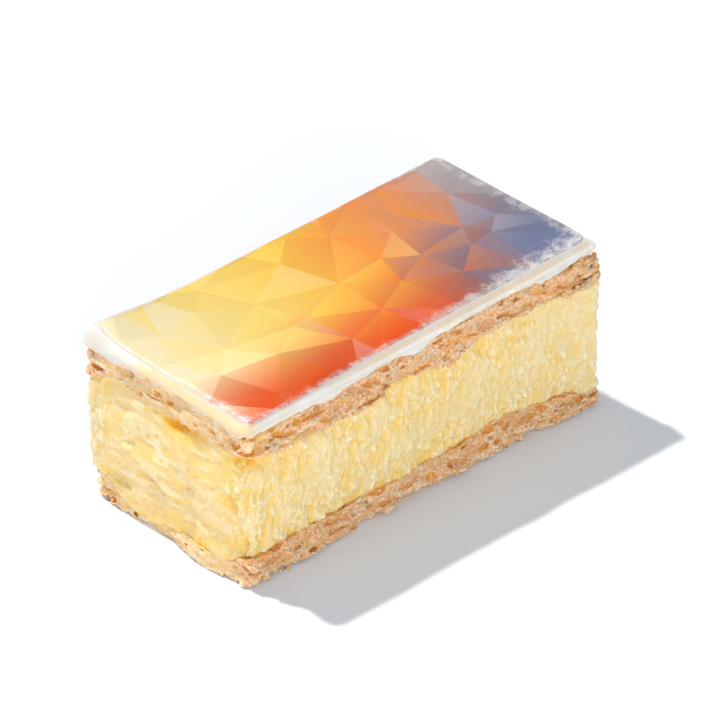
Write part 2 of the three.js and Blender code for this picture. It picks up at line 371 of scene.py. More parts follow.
@dataclass(frozen=True)
class SliceShape:
    """Driving sizes of the slice, and the heights and seams that follow from them.

    The seams and the icing's lip have bumps, each given as its height, x, y and reach.
    """

    length: float = 110.4
    width: float = 53.6
    corners: Corners = Corners(far_right=3.0, far_left=1.4, near_left=2.2, near_right=1.6)
    bottom_pastry: float = 7.8
    custard: float = 26.1
    top_pastry: float = 8.0
    icing: float = 1.2
    sheet: float = 0.35
    gap: float = 0.3
    rise_x: float = 0.03
    rise_y: float = 0.0375
    sheet_length: float = 107.4
    sheet_width: float = 49.6
    sheet_x: float = 0.5
    sheet_y: float = 1.1
    sheet_corners: Corners = Corners(far_right=1.6, far_left=2.5, near_left=1.0, near_right=3.0)
    pastry_inset: float = 0.7
    deepest_relief: float = 2.1
    lower_bumps: tuple[Bump, ...] = (
        (2.0, 22, -27, 9), (-3.0, 56, -27, 10), (-1.8, -55, 8, 8), (1.2, -55, 24, 6)
    )
    upper_bump: Bump = (2.8, -53, -27, 7)
    drips: tuple[Bump, ...] = ((1.5, -30, -27, 4), (1.7, -3.5, -27, 4), (1.0, 41, -27, 8))
    lip_bumps: tuple[Bump, ...] = ((1.3, -44, 27, 10), (0.9, -56, 27, 7))
    corner_swell: Bump = (1.6, -55, 27, 9)

    @property
    def custard_low(self) -> float:
        """Height of the custard's foot at the middle."""
        return self.bottom_pastry + self.gap

    @property
    def custard_high(self) -> float:
        """Height of the custard's top at the middle."""
        return self.custard_low + self.custard

    @property
    def top_pastry_high(self) -> float:
        """Height of the top pastry's upper face."""
        return self.custard_high + self.gap + self.top_pastry

    @property
    def icing_high(self) -> float:
        """Height of the icing's upper face."""
        return self.top_pastry_high + self.gap + self.icing

    @property
    def sheet_low(self) -> float:
        """Height of the printed sheet's underside."""
        return self.icing_high + self.gap

    def outline(self, step: float, reach: Reach = Reach.WHOLE) -> Outline:
        """The nominal outline, or part of it, with points about a step apart."""
        return Outline.rounded(self.length, self.width, self.corners, step, reach)

    def drawn_in(self, x: Array, y: Array, inset: Array | float) -> tuple[Array, Array]:
        """Points of the outline drawn in towards the middle by an inset, in proportion on each axis."""
        return x * (1.0 - 2.0 * inset / self.length), y * (1.0 - 2.0 * inset / self.width)

    def lower_seam(self, o: Outline) -> Array:
        """Height where the custard's side meets the bottom pastry: it wanders, and is lower at the ends."""
        wander = o.wander((0.9, 11.0, 21), (0.5, 5.0, 22)) + o.bumps(*self.lower_bumps)
        return self.custard_low - self.gap / 2 + 0.2 + wander - 3.2 * o.end

    def upper_seam(self, o: Outline) -> Array:
        """Height where the custard's side meets the top pastry, which is thinnest at the near left corner."""
        wander = o.wander((1.3, 9.0, 23), (0.7, 4.0, 24)) + o.bumps(self.upper_bump)
        return self.custard_high + self.gap / 2 - 0.5 + wander + 1.9 * o.end

    def ripple(self, x: Array, y: Array) -> Array:
        """How the icing's top and the sheet on it wave up and down, and rise at the far left corner."""
        risen = 2.2 * np.exp(-(((x + 54) / 14) ** 2) - ((y - 27) / 7) ** 2)
        return 0.08 * Lattice.noise((x, y, np.zeros_like(x)), 8, 1, 37) + risen

    def swell(self, o: Outline) -> Array:
        """How far the stack above the bottom pastry swells out at the far left corner."""
        return o.bumps(self.corner_swell)

    def film(self, o: Outline) -> Array:
        """How far the icing is only a film, from 0 to 1: along the near part of the left side."""
        return smoothstep(-o.x, 50.0, 54.5) * smoothstep(-o.y, -17.0, -5.0)

    def lip_drop(self, o: Outline) -> Array:
        """How far the icing's lip hangs below its top: a thin edge with drips, and a roll on short sides."""
        sag = 0.5 + o.wander((0.5, 8.0, 31))
        return 1.7 + 0.6 * sag + o.bumps(*self.drips) + 1.4 * o.end * (1.0 - self.film(o))

    def lip_swell(self, o: Outline) -> Array:
        """How far the lip's side stands out from the nominal outline."""
        return o.wander((0.3, 7.0, 33)) + 0.1 + o.bumps(*self.lip_bumps)


@dataclass(frozen=True)
class Placement:
    """Where the slice stands in the frame: the shift of its middle, and the slope of its top."""

    shape: SliceShape
    shift_x: float
    shift_y: float

    @classmethod
    def from_frame(cls, shape: SliceShape) -> "Placement":
        """Finds the shift from the printed sheet's box, whose middle is known in both frames."""
        low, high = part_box("print_sheet")
        middle = (low + high) / 2 / MM
        return cls(shape, middle.x - shape.sheet_x, middle.y - shape.sheet_y)

    def slope(self, points: Array) -> Array:
        """Heights with the top's slope: none at the custard's foot, and all of it from its top up."""
        s = self.shape
        x, y, z = points.T
        share = np.clip((z - s.custard_low) / s.custard, 0.0, 1.0)
        return z + share * (s.rise_x * x + s.rise_y * y)

    def to_frame(self, points: Array) -> Array:
        """Points from layer heights in millimetres to the frame's metres."""
        x, y = points[:, 0] + self.shift_x, points[:, 1] + self.shift_y
        return np.column_stack([x, y, self.slope(points)]) * MM


# ---- Ways of making a skin ----


def ring_skin(rings: Array, values: dict[str, Array]) -> Skin:
    """A closed skin through rings of points, closed by a fan at both ends.

    Point (row, column) is number row times columns plus column, and the fans' middles come last.

    Args:
        rings: Points as rows by columns by three, the first row lowest and the columns anticlockwise.
        values: Named values, as rows by columns.

    Returns:
        The skin.
    """
    rows, columns, _ = rings.shape
    number = np.arange(rows * columns).reshape(rows, columns)
    turned = np.roll(number, -1, axis=1)
    quads = np.stack([number[:-1], turned[:-1], turned[1:], number[1:]], axis=-1).reshape(-1, 4)
    low, high = rows * columns, rows * columns + 1
    first = np.stack([np.full(columns, low), turned[0], number[0]], axis=-1)
    last = np.stack([np.full(columns, high), number[-1], turned[-1]], axis=-1)
    points = np.concatenate([rings.reshape(-1, 3), rings[[0, -1]].mean(axis=1)])
    padded = {k: np.concatenate([v.ravel(), v[[0, -1]].mean(axis=1)]) for k, v in values.items()}
    return Skin(points, quads, np.concatenate([first, last]), padded)


class ShellField:
    """A lattice along part of the slice's side, on which a solid is a field that is positive inside.

    The lattice runs round the outline, up through the layer, and from outside the side inwards. The skin of
    the solid goes through the cells where the field changes sign, one point a cell, at the mean of the
    crossings of the cell's edges, and joins the four cells round each lattice edge that the skin crosses.
    """

    EDGES = tuple((a, a | bit) for bit in (1, 2, 4) for a in range(8) if not a & bit)
    OUTSIDE = -0.02

    def __init__(self, shape: SliceShape, outline: Outline, heights: Array, insets: Array) -> None:
        """Lays out the lattice.

        Args:
            shape: The slice's sizes.
            outline: Part of the nominal outline.
            heights: Layer heights of the lattice's levels.
            insets: How far inside the outline each of its shells lies, negative outside.
        """
        self.outline, self.insets = outline, insets
        inner, outer = np.maximum(insets, 0.0), np.maximum(-insets, 0.0)
        px, py = shape.drawn_in(outline.x[:, None], outline.y[:, None], inner[None, :])
        px = px + outline.out_x[:, None] * outer[None, :]
        py = py + outline.out_y[:, None] * outer[None, :]
        spread = (px[:, None, :], py[:, None, :], heights[None, :, None], insets[None, None, :])
        size = (len(outline.x), len(heights), len(insets))
        x, y, z, self.w = (np.broadcast_to(v, size) for v in spread)
        self.at = (x, y, z)

    @staticmethod
    def _corner(values: Array, cells: Points, corner: int) -> Array:
        """Values at one corner of each cell: bit 1 steps round, bit 2 up and bit 4 inwards."""
        i, j, k = cells
        return values[i + (corner & 1), j + (corner >> 1 & 1), k + (corner >> 2)]

    def skin(self, solid: Array, values: dict[str, Array]) -> Skin:
        """The solid's skin, cut off and closed at the lattice's two ends and at its innermost shell.

        Args:
            solid: The field at the lattice's points, positive inside.
            values: More fields, whose mean over a cell the cell's point keeps.

        Returns:
            The closed skin.
        """
        solid = solid.copy()
        for cut in (np.s_[0], np.s_[-1], np.s_[:, :, -1], np.s_[:, 0], np.s_[:, -1]):
            solid[cut] = np.minimum(solid[cut], self.OUTSIDE)
        solid[(solid > 0.0) & ~self._reached(solid > 0.0, -2)] = self.OUTSIDE
        solid[(solid <= 0.0) & ~self._reached(solid <= 0.0, 0)] = -self.OUTSIDE
        inside = solid > 0.0
        ends = [size - 1 for size in inside.shape]
        total = sum(
            inside[a:a + ends[0], b:b + ends[1], c:c + ends[2]].astype(np.int8)
            for a in (0, 1) for b in (0, 1) for c in (0, 1)
        )
        cells = np.nonzero((total > 0) & (total < 8))
        number = np.full(total.shape, -1, np.int64)
        number[cells] = np.arange(len(cells[0]))
        levels = [self._corner(solid, cells, c) for c in range(8)]
        places = [np.stack([self._corner(v, cells, c) for v in self.at], axis=-1) for c in range(8)]
        points, crossed = np.zeros((len(cells[0]), 3)), np.zeros(len(cells[0]))
        for a, b in self.EDGES:
            cut = (levels[a] > 0.0) != (levels[b] > 0.0)
            t = levels[a] / np.where(cut, levels[a] - levels[b], 1.0)
            points += np.where(cut[:, None], places[a] + t[:, None] * (places[b] - places[a]), 0.0)
            crossed += cut
        points /= crossed[:, None]
        kept = {k: np.mean([self._corner(v, cells, c) for c in range(8)], axis=0) for k, v in values.items()}
        return Skin(points, self._quads(inside, number), values=kept)

    @staticmethod
    def _reached(allowed: Array, shell: int) -> Array:
        """The points that a walk from one shell reaches through allowed neighbours.

        Kept to the solid it leaves out loose crumbs, and kept to the air it leaves out shut bubbles.

        Args:
            allowed: Points that the walk may enter.
            shell: Number of the shell where it begins.

        Returns:
            The points reached.
        """
        reached = np.zeros_like(allowed)
        reached[:, :, shell] = allowed[:, :, shell]
        count = 0
        while np.count_nonzero(reached) != count:
            count = np.count_nonzero(reached)
            for axis in range(3):
                ahead, back = [slice(None)] * 3, [slice(None)] * 3
                ahead[axis], back[axis] = slice(1, None), slice(None, -1)
                for here, there in ((tuple(ahead), tuple(back)), (tuple(back), tuple(ahead))):
                    reached[here] |= reached[there] & allowed[here]
        return reached

    @staticmethod
    def _quads(inside: Array, number: Array) -> Array:
        """Faces round every lattice edge that the skin crosses, wound to face out of the solid.

        Args:
            inside: Which of the lattice's points are in the solid.
            number: Number of each cell's point.

        Returns:
            The faces, as four points each.
        """
        faces = []

        def emit(start: Array, stop: Array, loop: tuple[Array, ...]) -> None:
            """Adds the faces where start and stop differ, turned round where the solid lies at stop."""
            for mask, order in ((start & ~stop, (3, 2, 1, 0)), (~start & stop, (0, 1, 2, 3))):
                faces.append(np.stack([loop[c][mask] for c in order], axis=-1))

        n = number
        emit(inside[:-1, 1:-1, 1:-1], inside[1:, 1:-1, 1:-1],
             (n[:, :-1, :-1], n[:, 1:, :-1], n[:, 1:, 1:], n[:, :-1, 1:]))
        emit(inside[1:-1, :-1, 1:-1], inside[1:-1, 1:, 1:-1],
             (n[:-1, :, :-1], n[:-1, :, 1:], n[1:, :, 1:], n[1:, :, :-1]))
        emit(inside[1:-1, 1:-1, :-1], inside[1:-1, 1:-1, 1:],
             (n[:-1, :-1, :], n[1:, :-1, :], n[1:, 1:, :], n[:-1, 1:, :]))
        return np.concatenate(faces)


# ---- Finishes ----


def linear(red: int, green: int, blue: int) -> Rgb:
    """A colour given in display steps from 0 to 255, as the linear values that shaders take."""
    steps = np.array([red, green, blue]) / 255.0
    values = np.where(steps <= 0.04045, steps / 12.92, ((steps + 0.055) / 1.055) ** 2.4)
    return tuple(float(v) for v in values)


class Bench:
    """Adds nodes to one node tree and wires them."""

    def __init__(self, tree: bpy.types.NodeTree) -> None:
        """Works on that tree."""
        self.tree = tree

    def add(self, kind: str, **settings: object) -> Node:
        """Adds a node of a kind, with its properties set."""
        node = self.tree.nodes.new(kind)
        for name, value in settings.items():
            setattr(node, name, value)
        return node

    def feed(self, socket: Socket, value: object) -> None:
        """Wires a socket to another, or sets it to a number or colour."""
        if isinstance(value, Socket):
            self.tree.links.new(value, socket)
        elif isinstance(value, tuple):
            socket.default_value = (*value, 1.0)
        else:
            socket.default_value = value

    def fill(self, node: Node, **values: object) -> None:
        """Feeds inputs of a node, named with underscores for spaces."""
        for label, value in values.items():
            self.feed(node.inputs[label.replace("_", " ")], value)

    def attribute(self, name: str, output: str = "Fac") -> Socket:
        """The value of a mesh attribute."""
        return self.add("ShaderNodeAttribute", attribute_name=name).outputs[output]

    def ramp(self, value: object, low: float, high: float, start: float = 0.0, stop: float = 1.0) -> Socket:
        """A value eased from start where it is low to stop where it is high."""
        node = self.add("ShaderNodeMapRange", interpolation_type="SMOOTHSTEP")
        self.fill(node, From_Min=low, From_Max=high, To_Min=start, To_Max=stop, Value=value)
        return node.outputs["Result"]

    def math(self, operation: str, a: object, b: object) -> Socket:
        """A sum, product or other operation of two sockets or numbers."""
        node = self.add("ShaderNodeMath", operation=operation)
        self.feed(node.inputs[0], a)
        self.feed(node.inputs[1], b)
        return node.outputs["Value"]

    def mix(self, fac: object, a: object, b: object) -> Socket:
        """A colour between two, by a factor."""
        node = self.add("ShaderNodeMix", data_type="RGBA")
        for index, value in ((0, fac), (6, a), (7, b)):
            self.feed(node.inputs[index], value)
        return node.outputs[2]

    def bump(self, height: Socket, distance: float) -> Socket:
        """A normal from a height, whose full range is that many millimetres deep."""
        node = self.add("ShaderNodeBump")
        self.fill(node, Strength=1.0, Distance=distance * MM, Height=height)
        return node.outputs["Normal"]


class SharedNodes:
    """Shader node groups that several finishes use, each built once."""

    def __init__(self) -> None:
        """Builds the groups."""
        self.crumb = self._crumb()
        self.depth_tint = self._depth_tint()

    @staticmethod
    def _new(name: str, inputs: dict[str, object], outputs: dict[str, str]) -> bpy.types.NodeTree:
        """A group with named sockets.

        Args:
            name: The group's name.
            inputs: Each input's default, a number or a colour.
            outputs: Each output's kind.

        Returns:
            The group, with nothing in it yet.
        """
        tree = bpy.data.node_groups.new(name, "ShaderNodeTree")
        for label, default in inputs.items():
            colour = isinstance(default, tuple)
            kind = "NodeSocketColor" if colour else "NodeSocketFloat"
            socket = tree.interface.new_socket(label, in_out="INPUT", socket_type=kind)
            socket.default_value = (*default, 1.0) if colour else default
        for label, kind in outputs.items():
            tree.interface.new_socket(label, in_out="OUTPUT", socket_type="NodeSocket" + kind)
        return tree

    def _crumb(self) -> bpy.types.NodeTree:
        """Crumb: broad mottling, fine grain, and the creases and height of packed round beads."""
        tree = self._new(
            "Crumb",
            {"Broad Scale": 400.0, "Fine Scale": 2500.0, "Bead Scale": 2000.0},
            {"Broad": "Float", "Grain": "Float", "Crease": "Float", "Height": "Float"},
        )
        bench = Bench(tree)
        given, made = bench.add("NodeGroupInput"), bench.add("NodeGroupOutput")
        where = bench.add("ShaderNodeTexCoord").outputs["Object"]
        broad, fine = bench.add("ShaderNodeTexNoise"), bench.add("ShaderNodeTexNoise")
        cells = bench.add("ShaderNodeTexVoronoi")
        bench.fill(broad, Detail=3.0)
        bench.fill(fine, Detail=3.0, Roughness=0.6)
        for node, label in ((broad, "Broad Scale"), (fine, "Fine Scale"), (cells, "Bead Scale")):
            bench.fill(node, Vector=where, Scale=given.outputs[label])
        rounded = bench.math("MULTIPLY", cells.outputs["Distance"], 0.5)
        bench.fill(
            made,
            Broad=bench.ramp(broad.outputs["Fac"], 0.3, 0.7),
            Grain=bench.ramp(fine.outputs["Fac"], 0.3, 0.7),
            Crease=bench.ramp(cells.outputs["Distance"], 0.2, 0.7),
            Height=bench.math("SUBTRACT", fine.outputs["Fac"], rounded),
        )
        return tree

    def _depth_tint(self) -> bpy.types.NodeTree:
        """Depth tint: crest, face or pit colour by the depth in millimetres, its steps broken by grain."""
        colours = {"Crest": (1.0, 1.0, 1.0), "Face": (0.8, 0.7, 0.5), "Pit": (0.5, 0.3, 0.1)}
        numbers = {"Depth": 0.0, "Crest Depth": -0.3, "Pit Depth": 1.5, "Grain": 0.5, "Break Up": 0.3}
        tree = self._new("Depth Tint", {**colours, **numbers}, {"Color": "Color"})
        bench = Bench(tree)
        # Pastry and custard use this to paint light on crests and shade in pits; the icing uses it where
        # pastry shows through.
        inputs, made = bench.add("NodeGroupInput").outputs, bench.add("NodeGroupOutput")
        shift = bench.math("MULTIPLY", bench.math("SUBTRACT", inputs["Grain"], 0.5), inputs["Break Up"])
        depth = bench.math("ADD", inputs["Depth"], shift)
        risen = bench.math("DIVIDE", depth, inputs["Crest Depth"])
        sunk = bench.math("DIVIDE", depth, inputs["Pit Depth"])
        face = bench.mix(bench.ramp(risen, 0.0, 1.0), inputs["Face"], inputs["Crest"])
        bench.fill(made, Color=bench.mix(bench.ramp(sunk, 0.1, 1.0), face, inputs["Pit"]))
        return tree

    def crumbs(self, bench: Bench, scales: Rgb) -> Outputs:
        """Places the crumb in a material, at its broad, fine and bead scales, and gives its outputs."""
        node = bench.add("ShaderNodeGroup", node_tree=self.crumb)
        bench.fill(node, Broad_Scale=scales[0], Fine_Scale=scales[1], Bead_Scale=scales[2])
        return {output.name: output for output in node.outputs}

    def tint(self, bench: Bench, **values: object) -> Socket:
        """Places the depth tint in a material, feeds its inputs and gives its colour."""
        node = bench.add("ShaderNodeGroup", node_tree=self.depth_tint)
        bench.fill(node, **values)
        return node.outputs["Color"]


def new_material(name: str) -> tuple[bpy.types.Material, Bench, Node]:
    """A material with a bench for its nodes and its Principled shader."""
    material = bpy.data.materials.new(name)
    material.use_nodes = True
    return material, Bench(material.node_tree), material.node_tree.nodes["Principled BSDF"]


@dataclass(frozen=True)
class Scatter:
    """How light wanders under a surface: its share, and how far each colour goes in millimetres."""

    weight: float
    reach: Rgb

    def apply(self, shader: Node) -> None:
        """Sets the shader's subsurface sockets."""
        shader.inputs["Subsurface Weight"].default_value = self.weight
        shader.inputs["Subsurface Radius"].default_value = self.reach
        shader.inputs["Subsurface Scale"].default_value = MM


@dataclass(frozen=True)
class Finish:
    """What all finishes have: a name, the crumb's broad, fine and bead scales, and how light scatters."""

    name: str
    scales: Rgb
    scatter: Scatter

    def material(self, shared: SharedNodes) -> bpy.types.Material:
        """Builds the material.

        Args:
            shared: The node groups that the finishes share.

        Returns:
            The material.
        """
        material, bench, shader = new_material(self.name)
        self.wire(bench, shader, shared, shared.crumbs(bench, self.scales))
        self.scatter.apply(shader)
        return material

    def wire(self, bench: Bench, shader: Node, shared: SharedNodes, crumb: Outputs) -> None:
        """Feeds the shader, which each finish does in its own way.

        Args:
            bench: Adds nodes to the material.
            shader: The material's shader.
            shared: The node groups that the finishes share.
            crumb: The crumb's outputs.
        """
        raise NotImplementedError


@dataclass(frozen=True)
class PastryFinish(Finish):
    """Puff pastry, sandy and browned at its skins; painted light on ends and bead tops, painted shade in
    creases and pits.
    """

    name: str = "Pastry"
    scales: Rgb = (260.0, 2600.0, 1500.0)
    scatter: Scatter = Scatter(0.5, (0.9, 0.6, 0.4))
    # crest is a painted highlight on bead tops and raised bits; pale is painted light on the end faces
    crest: Rgb = linear(255, 232, 202)
    sandy: Rgb = linear(246, 206, 162)
    dusty: Rgb = linear(238, 190, 142)
    pale: Rgb = linear(255, 215, 160)
    # crease, honey and hollow are painted shade: creases between beads, and golden-orange pits on sides and
    # ends
    crease: Rgb = linear(224, 166, 98)
    honey: Rgb = linear(255, 184, 66)
    hollow: Rgb = linear(246, 166, 34)
    toasted: Rgb = linear(244, 174, 94)

    def wire(self, bench: Bench, shader: Node, shared: SharedNodes, crumb: Outputs) -> None:
        """Tints the pastry by depth, then by beads and creases, as painted light and shade; then browns it.
        """
        end = bench.attribute("end")
        face = bench.mix(crumb["Broad"], self.dusty, self.sandy)
        # The end faces are painted paler: painted light.
        face = bench.mix(bench.math("MULTIPLY", end, 0.9), face, self.pale)
        # Pits are painted golden-orange, more strongly on the end faces: painted shade.
        depth = bench.math("MULTIPLY", bench.attribute("depth"), bench.ramp(end, 0.0, 1.0, 1.0, 2.1))
        tinted = shared.tint(
            bench, Crest=self.crest, Face=face, Pit=bench.mix(end, self.hollow, self.honey),
            Depth=depth, Crest_Depth=-0.4, Pit_Depth=0.9, Grain=crumb["Grain"], Break_Up=0.3,
        )
        # Bead tops are painted lighter: painted highlight.
        tinted = bench.mix(bench.ramp(crumb["Crease"], 0.0, 0.5, 0.45, 0.0), tinted, self.crest)
        # Creases between beads are painted darker: painted shade.
        crease_shade = bench.ramp(crumb["Crease"], 0.4, 1.0, 0.0, 0.65)
        crease_shade = bench.math("MULTIPLY", crease_shade, bench.ramp(end, 0.0, 1.0, 1.0, 0.6))
        tinted = bench.mix(crease_shade, tinted, bench.mix(end, self.crease, self.honey))
        browned = bench.ramp(crumb["Broad"], 0.0, 1.0, 0.9, 0.4)
        browned = bench.math("MULTIPLY", bench.attribute("toast"), browned)
        bench.fill(
            shader,
            Base_Color=bench.mix(browned, tinted, self.toasted),
            Roughness=bench.ramp(crumb["Grain"], 0.0, 1.0, 0.7, 0.4),
            Normal=bench.bump(crumb["Height"], 0.25),
            Specular_IOR_Level=0.4,
        )


@dataclass(frozen=True)
class CustardFinish(Finish):
    """Moist set custard: pale where it stands out, yellow in tears and pits, amber where deepest, as painted
    light and shade.
    """

    name: str = "Set custard"
    scales: Rgb = (210.0, 1700.0, 1300.0)
    scatter: Scatter = Scatter(0.5, (0.9, 0.74, 0.48))
    # pale and glow are painted highlight on crests; warm, glow and sunny make the end faces warmer, painted
    # light
    pale: Rgb = linear(252, 240, 206)
    cream: Rgb = linear(244, 222, 170)
    butter: Rgb = linear(242, 216, 155)
    warm: Rgb = linear(254, 213, 136)
    glow: Rgb = linear(255, 231, 180)
    # yellow, sunny and amber are painted shade in tears, pits and gaps
    sunny: Rgb = linear(252, 210, 116)
    yellow: Rgb = linear(250, 207, 106)
    amber: Rgb = linear(252, 176, 28)

    def wire(self, bench: Bench, shader: Node, shared: SharedNodes, crumb: Outputs) -> None:
        """Paints light on the custard's crests and shade in its pits, adds painted glints, and paints its
        deepest gaps amber.
        """
        end, depth = bench.attribute("end"), bench.attribute("depth")
        face = bench.mix(crumb["Broad"], self.butter, self.cream)
        # The end faces are painted warmer: painted light.
        face = bench.mix(bench.math("MULTIPLY", end, 0.7), face, self.warm)
        crest = bench.mix(end, self.pale, self.glow)
        # Pale crests are painted highlight; yellow pits are painted shade.
        tinted = shared.tint(
            bench, Crest=crest, Face=face, Pit=bench.mix(end, self.yellow, self.sunny),
            Depth=depth, Crest_Depth=-0.45, Pit_Depth=0.9, Grain=crumb["Grain"], Break_Up=0.15,
        )
        # Pale glints on grain peaks: painted highlight.
        glints = bench.ramp(crumb["Grain"], 0.7, 1.0, 0.0, 0.5)
        glints = bench.math("MULTIPLY", glints, bench.ramp(end, 0.0, 1.0, 1.0, 0.4))
        tinted = bench.mix(glints, tinted, crest)
        grained = bench.math("MULTIPLY", crumb["Height"], bench.ramp(end, 0.0, 1.0, 1.0, 0.4))
        # The deepest gaps are painted amber: painted shade.
        bench.fill(
            shader,
            Base_Color=bench.mix(bench.ramp(depth, 1.0, 2.1), tinted, self.amber),
            Roughness=bench.ramp(crumb["Grain"], 0.0, 1.0, 0.42, 0.2),
            Normal=bench.bump(grained, 0.1),
            Coat_Weight=0.15,
            Coat_Roughness=0.18,
        )


@dataclass(frozen=True)
class IcingFinish(Finish):
    """White fondant icing: glossy, and so thin along its lower edge that the pastry shows through."""

    name: str = "Fondant icing"
    scales: Rgb = (160.0, 900.0, 500.0)
    scatter: Scatter = Scatter(0.4, (1.6, 1.3, 1.0))
    white: Rgb = linear(232, 228, 220)
    creamy: Rgb = linear(229, 219, 203)
    # thin is the see-through colour where the pastry shows, and also painted shade on the near side's sloping
    # band
    thin: Rgb = linear(246, 208, 160)

    def wire(self, bench: Bench, shader: Node, shared: SharedNodes, crumb: Outputs) -> None:
        """Mottles the white, shows the pastry where the icing is thin, and paints shade on the near band."""
        body = bench.mix(crumb["Broad"], self.creamy, self.white)
        thin = bench.attribute("thin")
        tinted = shared.tint(
            bench, Crest=body, Face=body, Pit=self.thin, Depth=thin,
            Crest_Depth=-1.0, Pit_Depth=1.0, Grain=crumb["Grain"], Break_Up=0.3,
        )
        gloss = bench.ramp(crumb["Broad"], 0.0, 1.0, 0.22, 0.36)
        bench.fill(
            shader,
            Base_Color=tinted,
            Roughness=bench.math("ADD", gloss, bench.ramp(thin, 0.0, 1.0, 0.0, 0.3)),
            Normal=bench.bump(crumb["Grain"], 0.02),
            Coat_Weight=bench.ramp(thin, 0.0, 1.0, 0.25, 0.0),
            Coat_Roughness=0.16,
        )


@dataclass(frozen=True)
class PrintFinish(Finish):
    """The printed sugar sheet: the facets' colours, which fade out in mottled patches at the edge."""

    name: str = "Printed sugar"
    scales: Rgb = (420.0, 2400.0, 1400.0)
    scatter: Scatter = Scatter(0.12, (0.5, 0.4, 0.3))
    bare: Rgb = linear(232, 226, 222)

    def wire(self, bench: Bench, shader: Node, shared: SharedNodes, crumb: Outputs) -> None:
        """Inks the sheet by its distance from the edge, which patches and specks make uneven."""
        patches = bench.ramp(crumb["Broad"], 0.0, 1.0, -0.35, 0.35)
        specks = bench.ramp(crumb["Grain"], 0.0, 1.0, -0.3, 0.3)
        reach = bench.math("ADD", bench.attribute("rim"), bench.math("ADD", patches, specks))
        inked = bench.ramp(reach, -0.9, 1.5)
        bench.fill(
            shader,
            Base_Color=bench.mix(inked, self.bare, bench.attribute("print", "Color")),
            Roughness=bench.ramp(crumb["Broad"], 0.0, 1.0, 0.34, 0.46),
            Normal=bench.bump(crumb["Grain"], 0.012),
            Specular_IOR_Level=0.3,
        )


# ---- The pieces ----


def enter(piece: Piece, node: str, material: bpy.types.Material) -> None:
    """Gives a piece its material, and enters it in the frame in place of a node."""
    piece.data.materials.append(material)
    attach(piece, BODY)
    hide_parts(node)


@dataclass
class SubAssembly:
    """What every sub-assembly knows, and how it is dressed: each kind has its node and its finish.

    Attributes:
        shape: The slice's sizes.
        place: Where the slice stands in the frame.
        shared: The node groups that the finishes share.
    """

    shape: SliceShape
    place: Placement
    shared: SharedNodes

    def dress(self, pieces: list[Piece]) -> None:
        """Gives the pieces their finish, hangs them on the body, and hides the CAD node they stand in for."""
        material = self.finish.material(self.shared)
        for piece in pieces:
            enter(piece, self.node, material)


class Level(Enum):
    """Which of the two sheets of pastry is meant."""

    BOTTOM = "bottom_pastry"
    TOP = "top_pastry"


